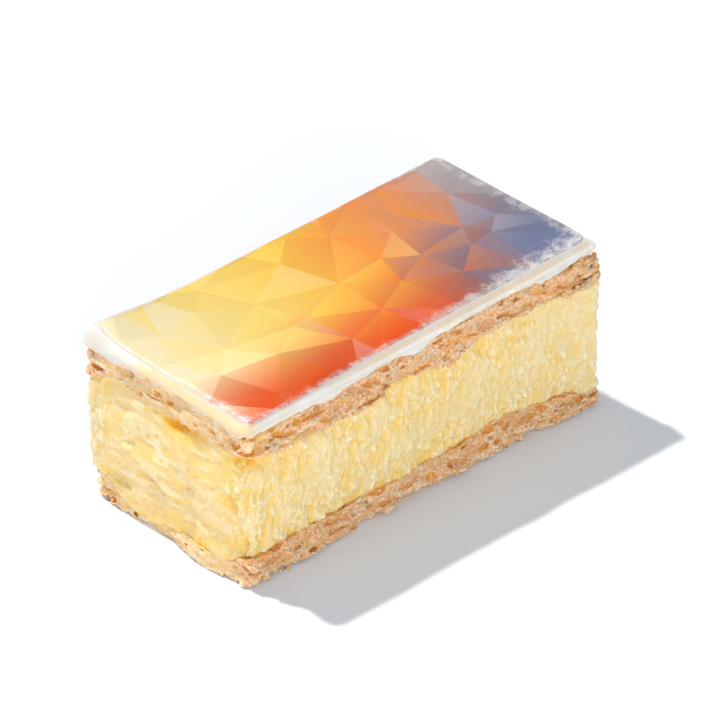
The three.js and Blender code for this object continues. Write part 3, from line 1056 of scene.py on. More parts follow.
@dataclass
class PastrySheet(SubAssembly):
    """One sheet of puff pastry, with its crags, thin leaves, bubbles and foamy cut face."""

    level: Level
    steps: tuple[tuple[Reach, float], ...] = ((Reach.LEFT, 0.2), (Reach.FRONT, 0.2), (Reach.FAR, 0.27))
    outside: float = 2.8
    furthest: float = 3.1
    fine_depth: float = 2.4
    seam_inset: float = 3.0
    contact_inset: float = 6.0
    middle_inset: float = 9.0
    flakes: int = 150
    shards: int = 28

    NAMES = {Level.BOTTOM: "Bottom pastry", Level.TOP: "Top pastry"}
    SEEDS = {Level.BOTTOM: 1, Level.TOP: 5}
    CRAGS = ((0.9, 7, 5, 0), (0.85, 9, 1.4, 1), (0.65, 3.2, 1.7, 2))
    STANDING = {
        Level.BOTTOM: (
            (2.9, -55, -13, 10), (0.7, -55, 20, 8), (1.2, 11, -27, 4), (1.6, 45, -27, 10), (1.2, 56, -25, 5)
        ),
        Level.TOP: ((1.5, -54, -27, 5),),
    }
    HOLLOWS = {
        Level.BOTTOM: (
            Hollow((11.5, -26.8, 4.6), (5.5, 1.6), 2.4),
            Hollow((-47, -26.8, 4.6), (5, 1.4), 2.0),
            Hollow((-26, -26.8, 5.0), (3, 1.1), 1.6),
            Hollow((33, -26.8, 5.6), (3, 1.2), 1.8),
            Hollow((46, -26.8, 4.4), (4.5, 1.6), 2.2),
            Hollow((-20, 26.8, 4.4), (5, 1.5), 1.8),
            Hollow((55.2, 6, 3.8), (5, 1.4), 1.6),
        ),
        Level.TOP: (
            Hollow((-50.5, -26.8, 38.4), (3.0, 1.0), 1.4),
            Hollow((-36, -26.8, 34.4), (4.6, 1.5), 2.2),
            Hollow((-27, -26.8, 36.6), (5.0, 2.0), 2.6),
            Hollow((-20, -26.8, 38.6), (5.0, 1.2), 1.8),
            Hollow((19.2, -26.8, 38.2), (3.0, 1.9), 2.6),
            Hollow((33, -26.8, 36.2), (6.0, 1.2), 1.8),
            Hollow((47, -26.8, 36.6), (4.5, 1.5), 1.8),
            Hollow((-55.2, 14.5, 40.0), (3.2, 1.6), 2.2),
            Hollow((-55.2, -19.5, 38.6), (2.6, 1.2), 1.9),
            Hollow((-10, 26.8, 38), (4, 1.5), 1.8),
            Hollow((55.2, -4, 38), (4, 1.5), 1.8),
        ),
    }

    @property
    def node(self) -> str:
        """The CAD node that the sheet stands in for."""
        return self.level.value

    @property
    def finish(self) -> PastryFinish:
        """The sheet's finish."""
        return PastryFinish(self.NAMES[self.level])

    @property
    def on_top(self) -> bool:
        """Whether this is the top sheet."""
        return self.level is Level.TOP

    def standing(self, o: Outline) -> Array:
        """How far the side stands out along the outline: in places, and the top sheet's with the stack."""
        places = o.bumps(*self.STANDING[self.level])
        return self.shape.swell(o) + places if self.on_top else places

    def relief(self, at: Points, end: Array) -> Array:
        """The side's relief: crags, thin leaves and lumps, calmer on end faces, less the hollows.

        The top sheet also has a knob low on its near right corner.

        Args:
            at: The points' x, y and z.
            end: How much each point belongs to an end face.

        Returns:
            How far the side stands out at each point.
        """
        x, y, z = at
        depth = sum(h.depth_at(at) for h in self.HOLLOWS[self.level])
        crags = Lattice.octaves(at, self.CRAGS, self.SEEDS[self.level]) * (1.0 - 0.4 * end)
        crags = crags + 2.2 * np.exp(-((x - 56) ** 2 + (y + 25) ** 2) / 30 - ((z - 36.5) / 2.4) ** 2)
        return np.maximum(crags - depth, -self.shape.deepest_relief)

    def limits(self, shell: ShellField) -> tuple[Array, Array]:
        """The sheet's underside and upper side: ragged seams at the rim that turn level further in.

        Args:
            shell: The lattice.

        Returns:
            Heights of the two sides at each point round the outline and each inset.
        """
        s, o = self.shape, shell.outline
        w = shell.insets[None, :]
        flat = np.clip((w - self.seam_inset) / (self.contact_inset - self.seam_inset), 0.0, 1.0)
        ragged = o.wander((0.5, 1.9, 44), (0.45, 0.8, 45))
        if self.on_top:
            seam = s.upper_seam(o) + s.gap / 2 + ragged - 0.2
            low = seam[:, None] * (1.0 - flat) + (s.custard_high + s.gap) * flat
            high = np.full((len(o.x), len(shell.insets)), s.top_pastry_high)
        else:
            curl = 0.5 + o.wander((0.45, 6.0, 41)) + o.bumps((2.0, -6, -27, 6)) + 1.2 * ragged
            low = np.maximum(curl, 0.1)[:, None] * (1.0 - smoothstep(w, 0.8, 3.4))
            seam = s.lower_seam(o) - s.gap / 2 + ragged
            high = seam[:, None] * (1.0 - flat) + s.bottom_pastry * flat
        return low[:, None, :], high[:, None, :]

    def crumbed(self, solid: Array, cut: Array, gaping: Array, points: tuple[Array, ...]) -> Array:
        """The field with its rough skin: cells of foam, bubbles and gaps between leaves are taken out of it.

        The cells of foam and the small bubbles have floors: they go no deeper than a set depth.

        Args:
            solid: The smooth field.
            cut: Depth below the cut side alone.
            gaping: How far the leaves have come apart, from 0 to 1.
            points: The lattice points' x, y, z and inset, and how much each belongs to an end face, where
                the knife left the crumb smoother.

        Returns:
            The rough field.
        """
        x, y, z, w, end = points
        seed = 60 + 40 * self.SEEDS[self.level]
        waved = z + 0.6 * Lattice.noise((x, y, z), 6, 6, seed)
        rough = 0.3 * Lattice.noise((x, y, waved), 3, 0.9, seed + 1)
        rough += 0.26 * Lattice.noise((x, y, z), 1.1, 0.9, seed + 2)
        body = solid + rough * (1.0 - 0.5 * end)
        slots = 0.9 * (Lattice.noise((x, y, waved), 6, 0.85, seed + 3) - 0.6 + 0.3 * gaping)
        inner = (body > -0.6) & (cut > -0.8)
        at, leaved = (x[inner], y[inner], z[inner]), (x[inner], y[inner], waved[inner])
        foam = 1.0 * Lattice.balls(at, 1.2, 1.0, seed + 10, 0.85, (0.25, 0.56))
        small = 1.5 * Lattice.balls(leaved, 2.6, 1.5, seed + 15, 0.5, (0.16, 0.44))
        large = 2.4 * Lattice.balls(leaved, 4.4, 2.4, seed + 20, 0.55, (0.2, 0.48))
        calm, here = 0.32 * end[inner], body[inner]
        celled = np.minimum(here, np.maximum(0.1 + calm - foam, here - 0.35))
        celled = np.minimum(celled, np.maximum(calm - small, here - 0.9))
        holes = np.maximum(large, slots[inner]) - calm
        body[inner] = np.minimum(celled, 2.0 * smoothstep(w[inner], 1.5, 2.3) - holes)
        return body

    def field(self, shell: ShellField) -> tuple[Array, dict[str, Array]]:
        """The sheet as a field: the least of the depths below its cut side, its underside and its upper side.

        Its outer millimetres are crumbed.

        Args:
            shell: The lattice.

        Returns:
            The field, and the depth, toast and end values for the material.
        """
        s, o = self.shape, shell.outline
        low, high = self.limits(shell)
        z = shell.at[2]
        # On the bottom sheet the far left corner counts as end face too: smoother, less browned, and painted
        # paler, painted light.
        calm = o.end if self.on_top else np.maximum(o.end, o.bumps((1.0, -55, 26, 7)))
        end = np.broadcast_to(calm[:, None, None], z.shape)
        out = self.relief(shell.at, end) + self.standing(o)[:, None, None]
        cut = shell.w - s.pastry_inset + np.minimum(out, self.furthest - 0.9 * (1.0 - end))
        if self.on_top:
            lip = s.icing_high - s.lip_drop(o) - 0.2
            cut = cut - 1.0 * smoothstep(z - lip[:, None, None], -0.3, 0.3)
        solid = np.minimum(cut, np.minimum(z - low, high - z))
        rim = np.s_[:, :, :int(np.searchsorted(shell.insets, self.fine_depth))]
        points = tuple(v[rim] for v in (*shell.at, shell.w, end))
        gaping = 1.0 - smoothstep(np.abs(z - low - 2.6), 0.8, 3.0)
        solid[rim] = self.crumbed(solid[rim], cut[rim], gaping[rim], points)
        from_seam = z - low if self.on_top else high - z
        toast = (1.0 - smoothstep(from_seam, 0.1, 1.3)) * (0.65 - 0.5 * end)
        if self.on_top:
            toast = np.maximum(toast, o.bumps((0.7, 52, -27, 12))[:, None, None])
            # The top sheet's near left corner counts as end face in the material: painted paler there,
            # painted light.
            end = np.maximum(end, o.bumps((0.8, -54, -27, 9))[:, None, None])
        else:
            solid, toast = np.minimum(solid, z), np.maximum(toast, 0.0)
        # depth tints pits and hollows golden-orange in the material: painted shade.
        return solid, {"depth": np.minimum(cut, 4.0), "toast": toast, "end": end}

    def build(self) -> list[Piece]:
        """Builds the parts of the rim as skins of a field, the plain middle and the loose flakes."""
        s, pieces = self.shape, []
        for reach, step in self.steps:
            o = s.outline(step, reach)
            fine = np.arange(-self.outside, self.fine_depth - 0.5 * step, step)
            insets = np.concatenate([fine, np.linspace(self.fine_depth, self.contact_inset + 1.0, 5)])
            low, high = -2 * step, s.lower_seam(o).max() + 5 * step
            if self.on_top:
                low, high = s.upper_seam(o).min() - 6 * step, s.top_pastry_high + 3 * step
            shell = ShellField(s, o, np.arange(low, high, step), insets)
            name = f"{self.node}_{reach.name.lower()}_sides"
            pieces.append(shell.skin(*self.field(shell)).to_object(name, self.place))
        pieces.append(self.core().to_object(self.node + "_middle", self.place))
        pieces.append(self.loose().to_object(self.node + "_flakes", self.place))
        return pieces

    def loose(self) -> Skin:
        """Loose flakes that cling to the side: balls stretched along it, tilted at random, dented by noise.

        The top sheet has more and larger ones, browned, by its near right corner.

        Returns:
            All the flakes as one skin.
        """
        s, seed = self.shape, self.SEEDS[self.level]
        rng = np.random.default_rng(900 + seed)
        o = s.outline(0.4)
        count = self.flakes + (self.shards if self.on_top else 0)
        pick = rng.integers(0, len(o.x), count)
        at_corner = np.arange(count) >= self.flakes
        wanted = rng.uniform(46.0, 55.0, count)
        nearest = np.abs(o.x[None, :] - wanted[:, None]) + 9.0 * (o.y > -26.0)[None, :]
        pick = np.where(at_corner, np.argmin(nearest, axis=1), pick)
        low, high, crowded = np.full(len(o.x), 1.2), s.lower_seam(o) - 0.4, 1.0
        if self.on_top:
            low, high, crowded = s.upper_seam(o), s.icing_high - s.lip_drop(o) - 1.2, 1.8
        z = low[pick] + (high - low)[pick] * rng.random(count) ** crowded
        x, y = s.drawn_in(o.x[pick], o.y[pick], s.pastry_inset)
        end = o.end[pick]
        furthest = 2.1 + 0.7 * end - 0.7 * at_corner
        out = np.minimum(self.relief((x, y, z), end) + self.standing(o)[pick] - 0.1, furthest)
        way_x, way_y = o.out_x[pick], o.out_y[pick]
        middle = np.stack([x + way_x * out, y + way_y * out, z], axis=-1)
        size = rng.random((count, 1)) ** 2 * np.array([1.1, 0.3, 0.2]) + np.array([0.45, 0.25, 0.2])
        size = size * np.where(at_corner, 2.4, 1.0)[:, None]
        tilt = rng.uniform(-0.5, 0.5, (2, count))
        along = np.stack([-way_y * np.cos(tilt[0]), way_x * np.cos(tilt[0]), np.sin(tilt[0])], axis=-1)
        face = np.stack([way_x * np.cos(tilt[1]), way_y * np.cos(tilt[1]), np.sin(tilt[1])], axis=-1)
        ways = (along, np.cross(face, along), face)
        ball = self.ball()
        points = sum(
            ball.points[None, :, axis, None] * size[:, None, axis, None] * way[:, None, :]
            for axis, way in enumerate(ways)
        )
        places = middle[:, None, :] + points
        dent = Lattice.noise(np.moveaxis(places, -1, 0), 0.55, 0.55, 50 + seed)
        places = middle[:, None, :] + points * (1.0 + 0.45 * dent)[..., None]
        places[..., 2] = np.maximum(places[..., 2], 0.05)
        step = (np.arange(count) * len(ball.points))[:, None, None]
        spread = np.ones((count, len(ball.points)))
        brown = np.where(at_corner, 0.75, 0.5 * rng.random(count))[:, None] * spread
        ends = (end[:, None] * spread).ravel()
        # Flakes get a standing-out depth, so they take the crest colour: a painted highlight.
        values = {"depth": -0.3 * spread.ravel(), "toast": brown.ravel(), "end": ends}
        quads, tris = (ball.quads[None] + step).reshape(-1, 4), (ball.tris[None] + step).reshape(-1, 3)
        return Skin(places.reshape(-1, 3), quads, tris, values)

    @staticmethod
    def ball() -> Skin:
        """A ball of radius 1: five rings of eight points, closed by fans."""
        height = np.linspace(-0.85, 0.85, 5)[:, None]
        turn = np.linspace(0.0, 2.0 * math.pi, 8, endpoint=False)[None, :]
        across = np.sqrt(1.0 - height**2)
        rings = np.stack([across * np.cos(turn), across * np.sin(turn), height + 0.0 * turn], axis=-1)
        return ring_skin(rings, {})

    def core(self) -> Skin:
        """The slab's plain middle, which the rim overlaps."""
        s = self.shape
        o = s.outline(2.0)
        low, high = (s.custard_high + s.gap, s.top_pastry_high) if self.on_top else (0.02, s.bottom_pastry)
        rings, contact, middle = [], self.contact_inset, self.middle_inset
        for inset, height in ((middle, low), (contact, low), (contact, high), (middle, high)):
            x, y = s.drawn_in(o.x, o.y, inset)
            rings.append(np.stack([x, y, np.full_like(x, height)], axis=-1))
        plain = np.zeros((len(rings), len(o.x)))
        return ring_skin(np.stack(rings), {"depth": plain, "toast": plain + 0.5, "end": plain})


@dataclass
class CustardBlock(SubAssembly):
    """The block of set custard, whose sides tore as it was pulled off the knife."""

    node: str = "custard"
    finish: CustardFinish = CustardFinish()
    step: float = 0.2
    rows: int = 100
    inset: float = 0.5
    seam_inset: float = 3.0
    contact_inset: float = 6.0
    near_right: Bump = (1.9, 56, -26, 7)
    gaps: tuple[Bump, ...] = ((2.2, -55, -4, 6), (2.2, -54.5, -26.5, 4.5))

    HOLLOWS = (
        Hollow((-55.2, 13, 22), (2.6, 1.3), 1.0),
        Hollow((-55.2, 7.5, 14.5), (4, 1.3), 1.1),
        Hollow((-55.2, 17, 9), (5, 1.3), 1.2),
        Hollow((-55.2, -24.5, 11.5), (1.6, 1.4), 1.2),
        Hollow((55.2, -8, 18), (3.2, 1.3), 1.0),
        Hollow((55.2, 12, 26), (2.6, 1.1), 0.9),
    )

    def standing(self, o: Outline) -> Array:
        """How far the side stands out along the outline: with the stack, and at the near right corner."""
        return self.shape.swell(o) + o.bumps(self.near_right)

    def broad_relief(self, at: Points, end: Array) -> Array:
        """The solid's relief: a bulge, lumps, upright tears on long sides and level smears on short ones.

        Args:
            at: The points' x, y and z.
            end: How much each point belongs to an end face.

        Returns:
            How far the side stands out at each point.
        """
        s = self.shape
        level = np.clip((at[2] - s.custard_low) / s.custard, 0.0, 1.0)
        bulge = np.sin(math.pi * level**0.8) * (0.3 + 1.2 * end)
        bulge = bulge + 0.9 * end * (1.0 - smoothstep(level, 0.0, 0.15))
        torn = Lattice.octaves(at, ((0.3, 3.4, 8, 12), (0.35, 2.6, 2.6, 14))) * (1.0 - end)
        smear = 0.45 * Lattice.noise(at, 7, 3.0, 13) * end
        depth = sum(h.depth_at(at) for h in self.HOLLOWS)
        out = bulge + (0.6 + 0.3 * end) * Lattice.noise(at, 6, 6, 11) + torn + smear
        return np.maximum(out - depth, -s.deepest_relief)

    def gap(self, o: Outline, below: Array) -> Array:
        """Depth of the gaps under the top pastry, on the left side and at the near left corner.

        Args:
            o: The outline.
            below: How far each point lies below the top pastry.

        Returns:
            The gaps' depth.
        """
        return o.bumps(*self.gaps) * np.exp(-(((below - 1.6) / 1.9) ** 2))

    @staticmethod
    def nubs(at: Points, across: float, up: float, seed: int, share: float) -> Array:
        """Scattered soft nubs, 0 beside them and 1 at their tops: the depth in a ball to the power 0.75."""
        return (np.maximum(Lattice.balls(at, across, up, seed, share, (0.35, 0.65)), 0.0) / 0.65) ** 0.75

    def fine_relief(self, at: Points, end: Array) -> Array:
        """Torn ridges, pits and grain.

        The long sides are torn into soft nubs of two sizes, on strokes and lumps that stand upright and lean
        a little. The short sides are smeared level, with flat pits, and torn a little along their foot and by
        the near left corner.

        Args:
            at: The points' x, y and z.
            end: How much each point belongs to an end face.

        Returns:
            How far the relief stands out, negative in the tears.
        """
        x, y, z = at
        warps = [Lattice.noise(at, 2.3, 2.3, seed) for seed in (71, 72, 73)]
        leaning = x - 0.2 * (z - 20.0) * (1.0 - end)
        bent = (leaning + 0.6 * warps[0], y + 0.6 * warps[1], z + 0.7 * warps[2])
        stroke = smoothstep(Lattice.noise(bent, 1.2, 3.0, 74), -0.5, 0.5)
        lump = smoothstep(Lattice.noise(bent, 1.5, 1.8, 75), -0.4, 0.4)
        large, small = self.nubs(bent, 1.6, 2.7, 84, 1.0), self.nubs(bent, 0.95, 1.5, 94, 0.9)
        level = smoothstep(Lattice.noise(bent, 3.2, 1.4, 76), -0.4, 0.3)
        crumb = smoothstep(Lattice.noise(bent, 1.2, 0.75, 77), -0.2, 0.45)
        calm = 0.65 + 0.35 * smoothstep(Lattice.noise(at, 8, 6, 78), -0.4, 0.3)
        torn = calm * (0.3 * stroke + 0.3 * lump + 0.95 * large + 0.55 * small - 0.92)
        smeared = 0.18 * (level - 0.6) + 0.05 * (crumb - 0.5)
        pit = smoothstep(Lattice.balls(bent, 2.3, 1.4, 80, 0.55, (0.14, 0.44)), 0.0, 0.22)
        prick = smoothstep(Lattice.balls(at, 1.1, 0.8, 104, 0.3, (0.14, 0.4)), 0.0, 0.2)
        sunk = (0.2 * pit + 0.02 * prick) * (0.2 + 0.8 * end)
        corner = np.exp(-((x + 55.0) ** 2 + (y + 25.0) ** 2) / 50.0)
        smooth = end * (1.0 - 0.3 * np.maximum(1.0 - smoothstep(z, 6.0, 10.5), corner))
        return torn * (1.0 - smooth) + smeared * smooth - sunk

    def build(self) -> list[Piece]:
        """Builds the near and the far half of the block."""
        halves = (Reach.NEAR, Reach.FAR)
        return [self.half(r).to_object(f"custard_{r.name.lower()}_sides", self.place) for r in halves]

    def half(self, reach: Reach) -> Skin:
        """One half as rings: flat middle, seam, wall, seam and flat middle again, closed along the middle.

        The halves overlap, and each is tucked in a little along its two ends, so that neither end shows.

        Args:
            reach: Which part of the way round the half covers.

        Returns:
            The half's skin, with its depth and end values.
        """
        s = self.shape
        o = s.outline(self.step, reach)
        foot, top = s.lower_seam(o) + s.gap / 2 - 0.5, s.upper_seam(o) - s.gap / 2 + 0.6
        share = np.linspace(0.0, 1.0, self.rows)[:, None]
        z = foot * (1.0 - share) + top * share
        x, y = (np.broadcast_to(v, z.shape) for v in s.drawn_in(o.x, o.y, self.inset))
        end = np.broadcast_to(o.end, z.shape)
        gap = self.gap(o, top - z)
        from_end = np.arange(len(o.x)) * self.step
        tucked = 1.0 - smoothstep(np.minimum(from_end, from_end[::-1]), 0.0, 0.8)
        broad = self.broad_relief((x, y, z), end) + self.standing(o) - 0.5 * tucked
        fine = self.fine_relief((x, y, z), end)
        ease = np.minimum(smoothstep(z - foot, -0.01, 0.8), smoothstep(top - z, -0.01, 0.8))
        tuck = np.where(share < 0.5, 0.3 * (1.0 - end), 0.6) * (1.0 - ease)
        held = np.minimum(broad, 1.8 + 0.7 * end)
        out = np.clip(held - gap + fine * (0.4 + 0.6 * ease) - tuck, -2.6, 2.3 + 0.4 * end)
        wall = np.stack([x + o.out_x * out, y + o.out_y * out, z - 0.3 * fine * ease], axis=-1)
        flats = []
        insets = ((self.contact_inset, 1.0), (self.seam_inset + 1.0, 0.4), (self.seam_inset, 0.0))
        for heights, middle in ((foot, s.custard_low), (top, s.custard_high)):
            rings = []
            for inset, level in insets:
                px, py = s.drawn_in(o.x, o.y, inset)
                rings.append(np.stack([px, py, heights * (1 - level) + middle * level], axis=-1))
            flats.append(np.stack(rings))
        grid = np.concatenate([flats[0], wall, flats[1][::-1]])
        axis = np.zeros((len(grid), 1, 3))
        axis[:, 0, 2] = grid[:, :, 2].mean(axis=1)
        depth = np.zeros((len(grid), len(o.x) + 1))
        ends = depth.copy()
        # depth paints the custard: pale on nub tops, painted highlight; yellow in valleys and inward hollows,
        # amber in gaps, painted shade
        depth[3:-3, :-1] = -fine * (1.0 + 3.4 * end) + 0.6 * np.clip(-broad, 0.0, 2.0) + gap
        ends[3:-3, :-1] = end
        return ring_skin(np.concatenate([grid, axis], axis=1), {"depth": depth, "end": ends})


@dataclass
class IcingGlaze(SubAssembly):
    """The icing: a level top, and a rolled lip with short drips that hugs the pastry's edge."""

    node: str = "icing"
    finish: IcingFinish = IcingFinish()
    step: float = 0.33
    roll: int = 22
    thickness: float = 0.9

    def shoulder(self, turn: float, top: float, swell: Array, near: Array) -> Points:
        """A ring of the shoulder: a quarter round, but a flat slope over a lip on the near long side.

        Args:
            turn: Place on the shoulder, 0 at its foot and 1 at the flat top.
            top: Height of the flat top.
            swell: How far the lip stands out, which fades up the shoulder.
            near: How much each point belongs to the near long side.

        Returns:
            The ring's inset, how far it stands out, and its height.
        """
        angle = turn * math.pi / 2
        knots = (0.0, 0.15, 0.35, 0.55, 1.0)
        slope_inset = np.interp(turn, knots, (0.0, 0.12, 0.5, 1.0, 2.05))
        slope_fall = np.interp(turn, knots, (1.9, 1.45, 1.15, 1.0, 0.0))
        inset = 1.7 * (1.0 - math.cos(angle)) * (1.0 - near) + slope_inset * near
        fall = 0.9 * (1.0 - math.sin(angle)) * (1.0 - near) + slope_fall * near
        return inset, swell * (1.0 - turn), top - fall

    def build(self) -> list[Piece]:
        """Builds the icing from a profile carried round the outline.

        The profile starts under the icing's middle, runs out to the lip's inner side, down behind the lip,
        and round its foot. It comes up the outside and in over the shoulder to the flat top.

        Returns:
            The icing, as one piece.
        """
        s = self.shape
        o = s.outline(self.step)
        film = s.film(o)
        frayed = o.wander((0.35, 1.9, 34), (0.15, 1.0, 35)) * (1.0 + film)
        drop = np.maximum(s.lip_drop(o) + frayed, 1.6)
        swell = s.lip_swell(o) + film * o.wander((0.35, 2.2, 38))
        near = smoothstep(-o.out_y, 0.4, 0.95) * smoothstep(o.x, -45.0, -12.0)
        under, top, inner = s.top_pastry_high + 0.1, s.icing_high, self.thickness
        rings = [(inset, 0.0, under) for inset in (8.0, inner + 1.0, inner)]
        rings.append((inner, 0.0, top - drop + 0.2))
        for turn in np.linspace(0.15, 1.0, 5) * math.pi / 2:
            inset = inner * (1.0 - math.sin(turn))
            rings.append((inset, swell * math.sin(turn), top - drop + 0.4 * (1.0 - math.cos(turn))))
        for turn in np.linspace(0.0, 1.0, self.roll):
            inset, outward, height = self.shoulder(turn, top, swell, near)
            rings.append((inset, outward, np.maximum(height, top - drop + 0.4 + 0.2 * turn)))
        rings += [(inset, 0.0, top) for inset in (2.4, 3.0, 4.0, 6.0, 9.0)]
        grid, thin = [], []
        for ring in rings:
            inset, outward, height = (np.broadcast_to(np.asarray(v, float), o.x.shape) for v in ring)
            x, y = s.drawn_in(o.x, o.y, inset)
            x, y = x + o.out_x * outward, y + o.out_y * outward
            domed = s.ripple(x, y) + 0.36 * smoothstep(inset, 0.3, 1.8)
            raised = smoothstep(height, top - 0.9, top) * domed
            grid.append(np.stack([x, y, height + raised], axis=-1))
            edge = (1.0 - smoothstep(height - (top - drop), -0.1, 1.0)) * (1.0 - 0.75 * near)
            # The near long side's sloping band is tinted half way to the see-through colour: painted shade.
            slope = 0.5 * near * smoothstep(inset, 0.8, 1.1) * (1.0 - smoothstep(inset, 1.8, 2.1))
            veiled = 0.9 * film * (1.0 - smoothstep(inset, 1.3, 2.1)) * (height > under)
            thin.append(np.maximum(np.maximum(edge, slope), veiled))
        skin = ring_skin(np.stack(grid), {"thin": np.stack(thin)})
        return [skin.to_object("icing_glaze", self.place)]


@dataclass(frozen=True)
class FacetPrint:
    """The print's design: facets of scattered sizes over colours that run warm to cool along the slice."""

    cream: Rgb = linear(236, 222, 178)
    lemon: Rgb = linear(238, 212, 120)
    gold: Rgb = linear(238, 190, 72)
    amber: Rgb = linear(232, 142, 52)
    clay: Rgb = linear(206, 124, 78)
    ember: Rgb = linear(222, 80, 8)
    umber: Rgb = linear(152, 98, 82)
    mist: Rgb = linear(158, 150, 150)
    slate: Rgb = linear(98, 108, 140)
    stops: tuple[float, ...] = (-1.0, -0.6, -0.1, 0.35, 0.8)

    @staticmethod
    def blend(first: Array, second: Array, share: Array) -> Array:
        """Rows of colours between two, by each row's share of the second."""
        return np.asarray(first) * (1.0 - share[:, None]) + np.asarray(second) * share[:, None]

    def colours(self, u: Array, v: Array) -> Array:
        """The design's colour at places on the sheet.

        Along the sheet the colours run through five warm ones at uneven stops. Ember is mixed in towards the
        near side and turns to umber along the sheet. A cool colour, slate at the near side and mist at the
        far one, takes over at the cool end, earlier at the near side.

        Args:
            u: Place along the sheet, -1 at the warm end and 1 at the cool one.
            v: Place across the sheet, -1 at the near side.

        Returns:
            Linear colours, one row a place.
        """
        run = np.array([self.cream, self.lemon, self.gold, self.amber, self.clay])
        warm = np.stack([np.interp(u, self.stops, run[:, c]) for c in range(3)], axis=-1)
        burnt = self.blend(self.ember, self.umber, smoothstep(u, -0.05, 0.5))
        warm = self.blend(warm, burnt, smoothstep(0.25 * u - v, -0.1, 0.75))
        cool = self.blend(self.slate, self.mist, smoothstep(v, -0.7, 0.9))
        return self.blend(warm, cool, smoothstep(u - 0.12 * v, 0.3, 1.05))


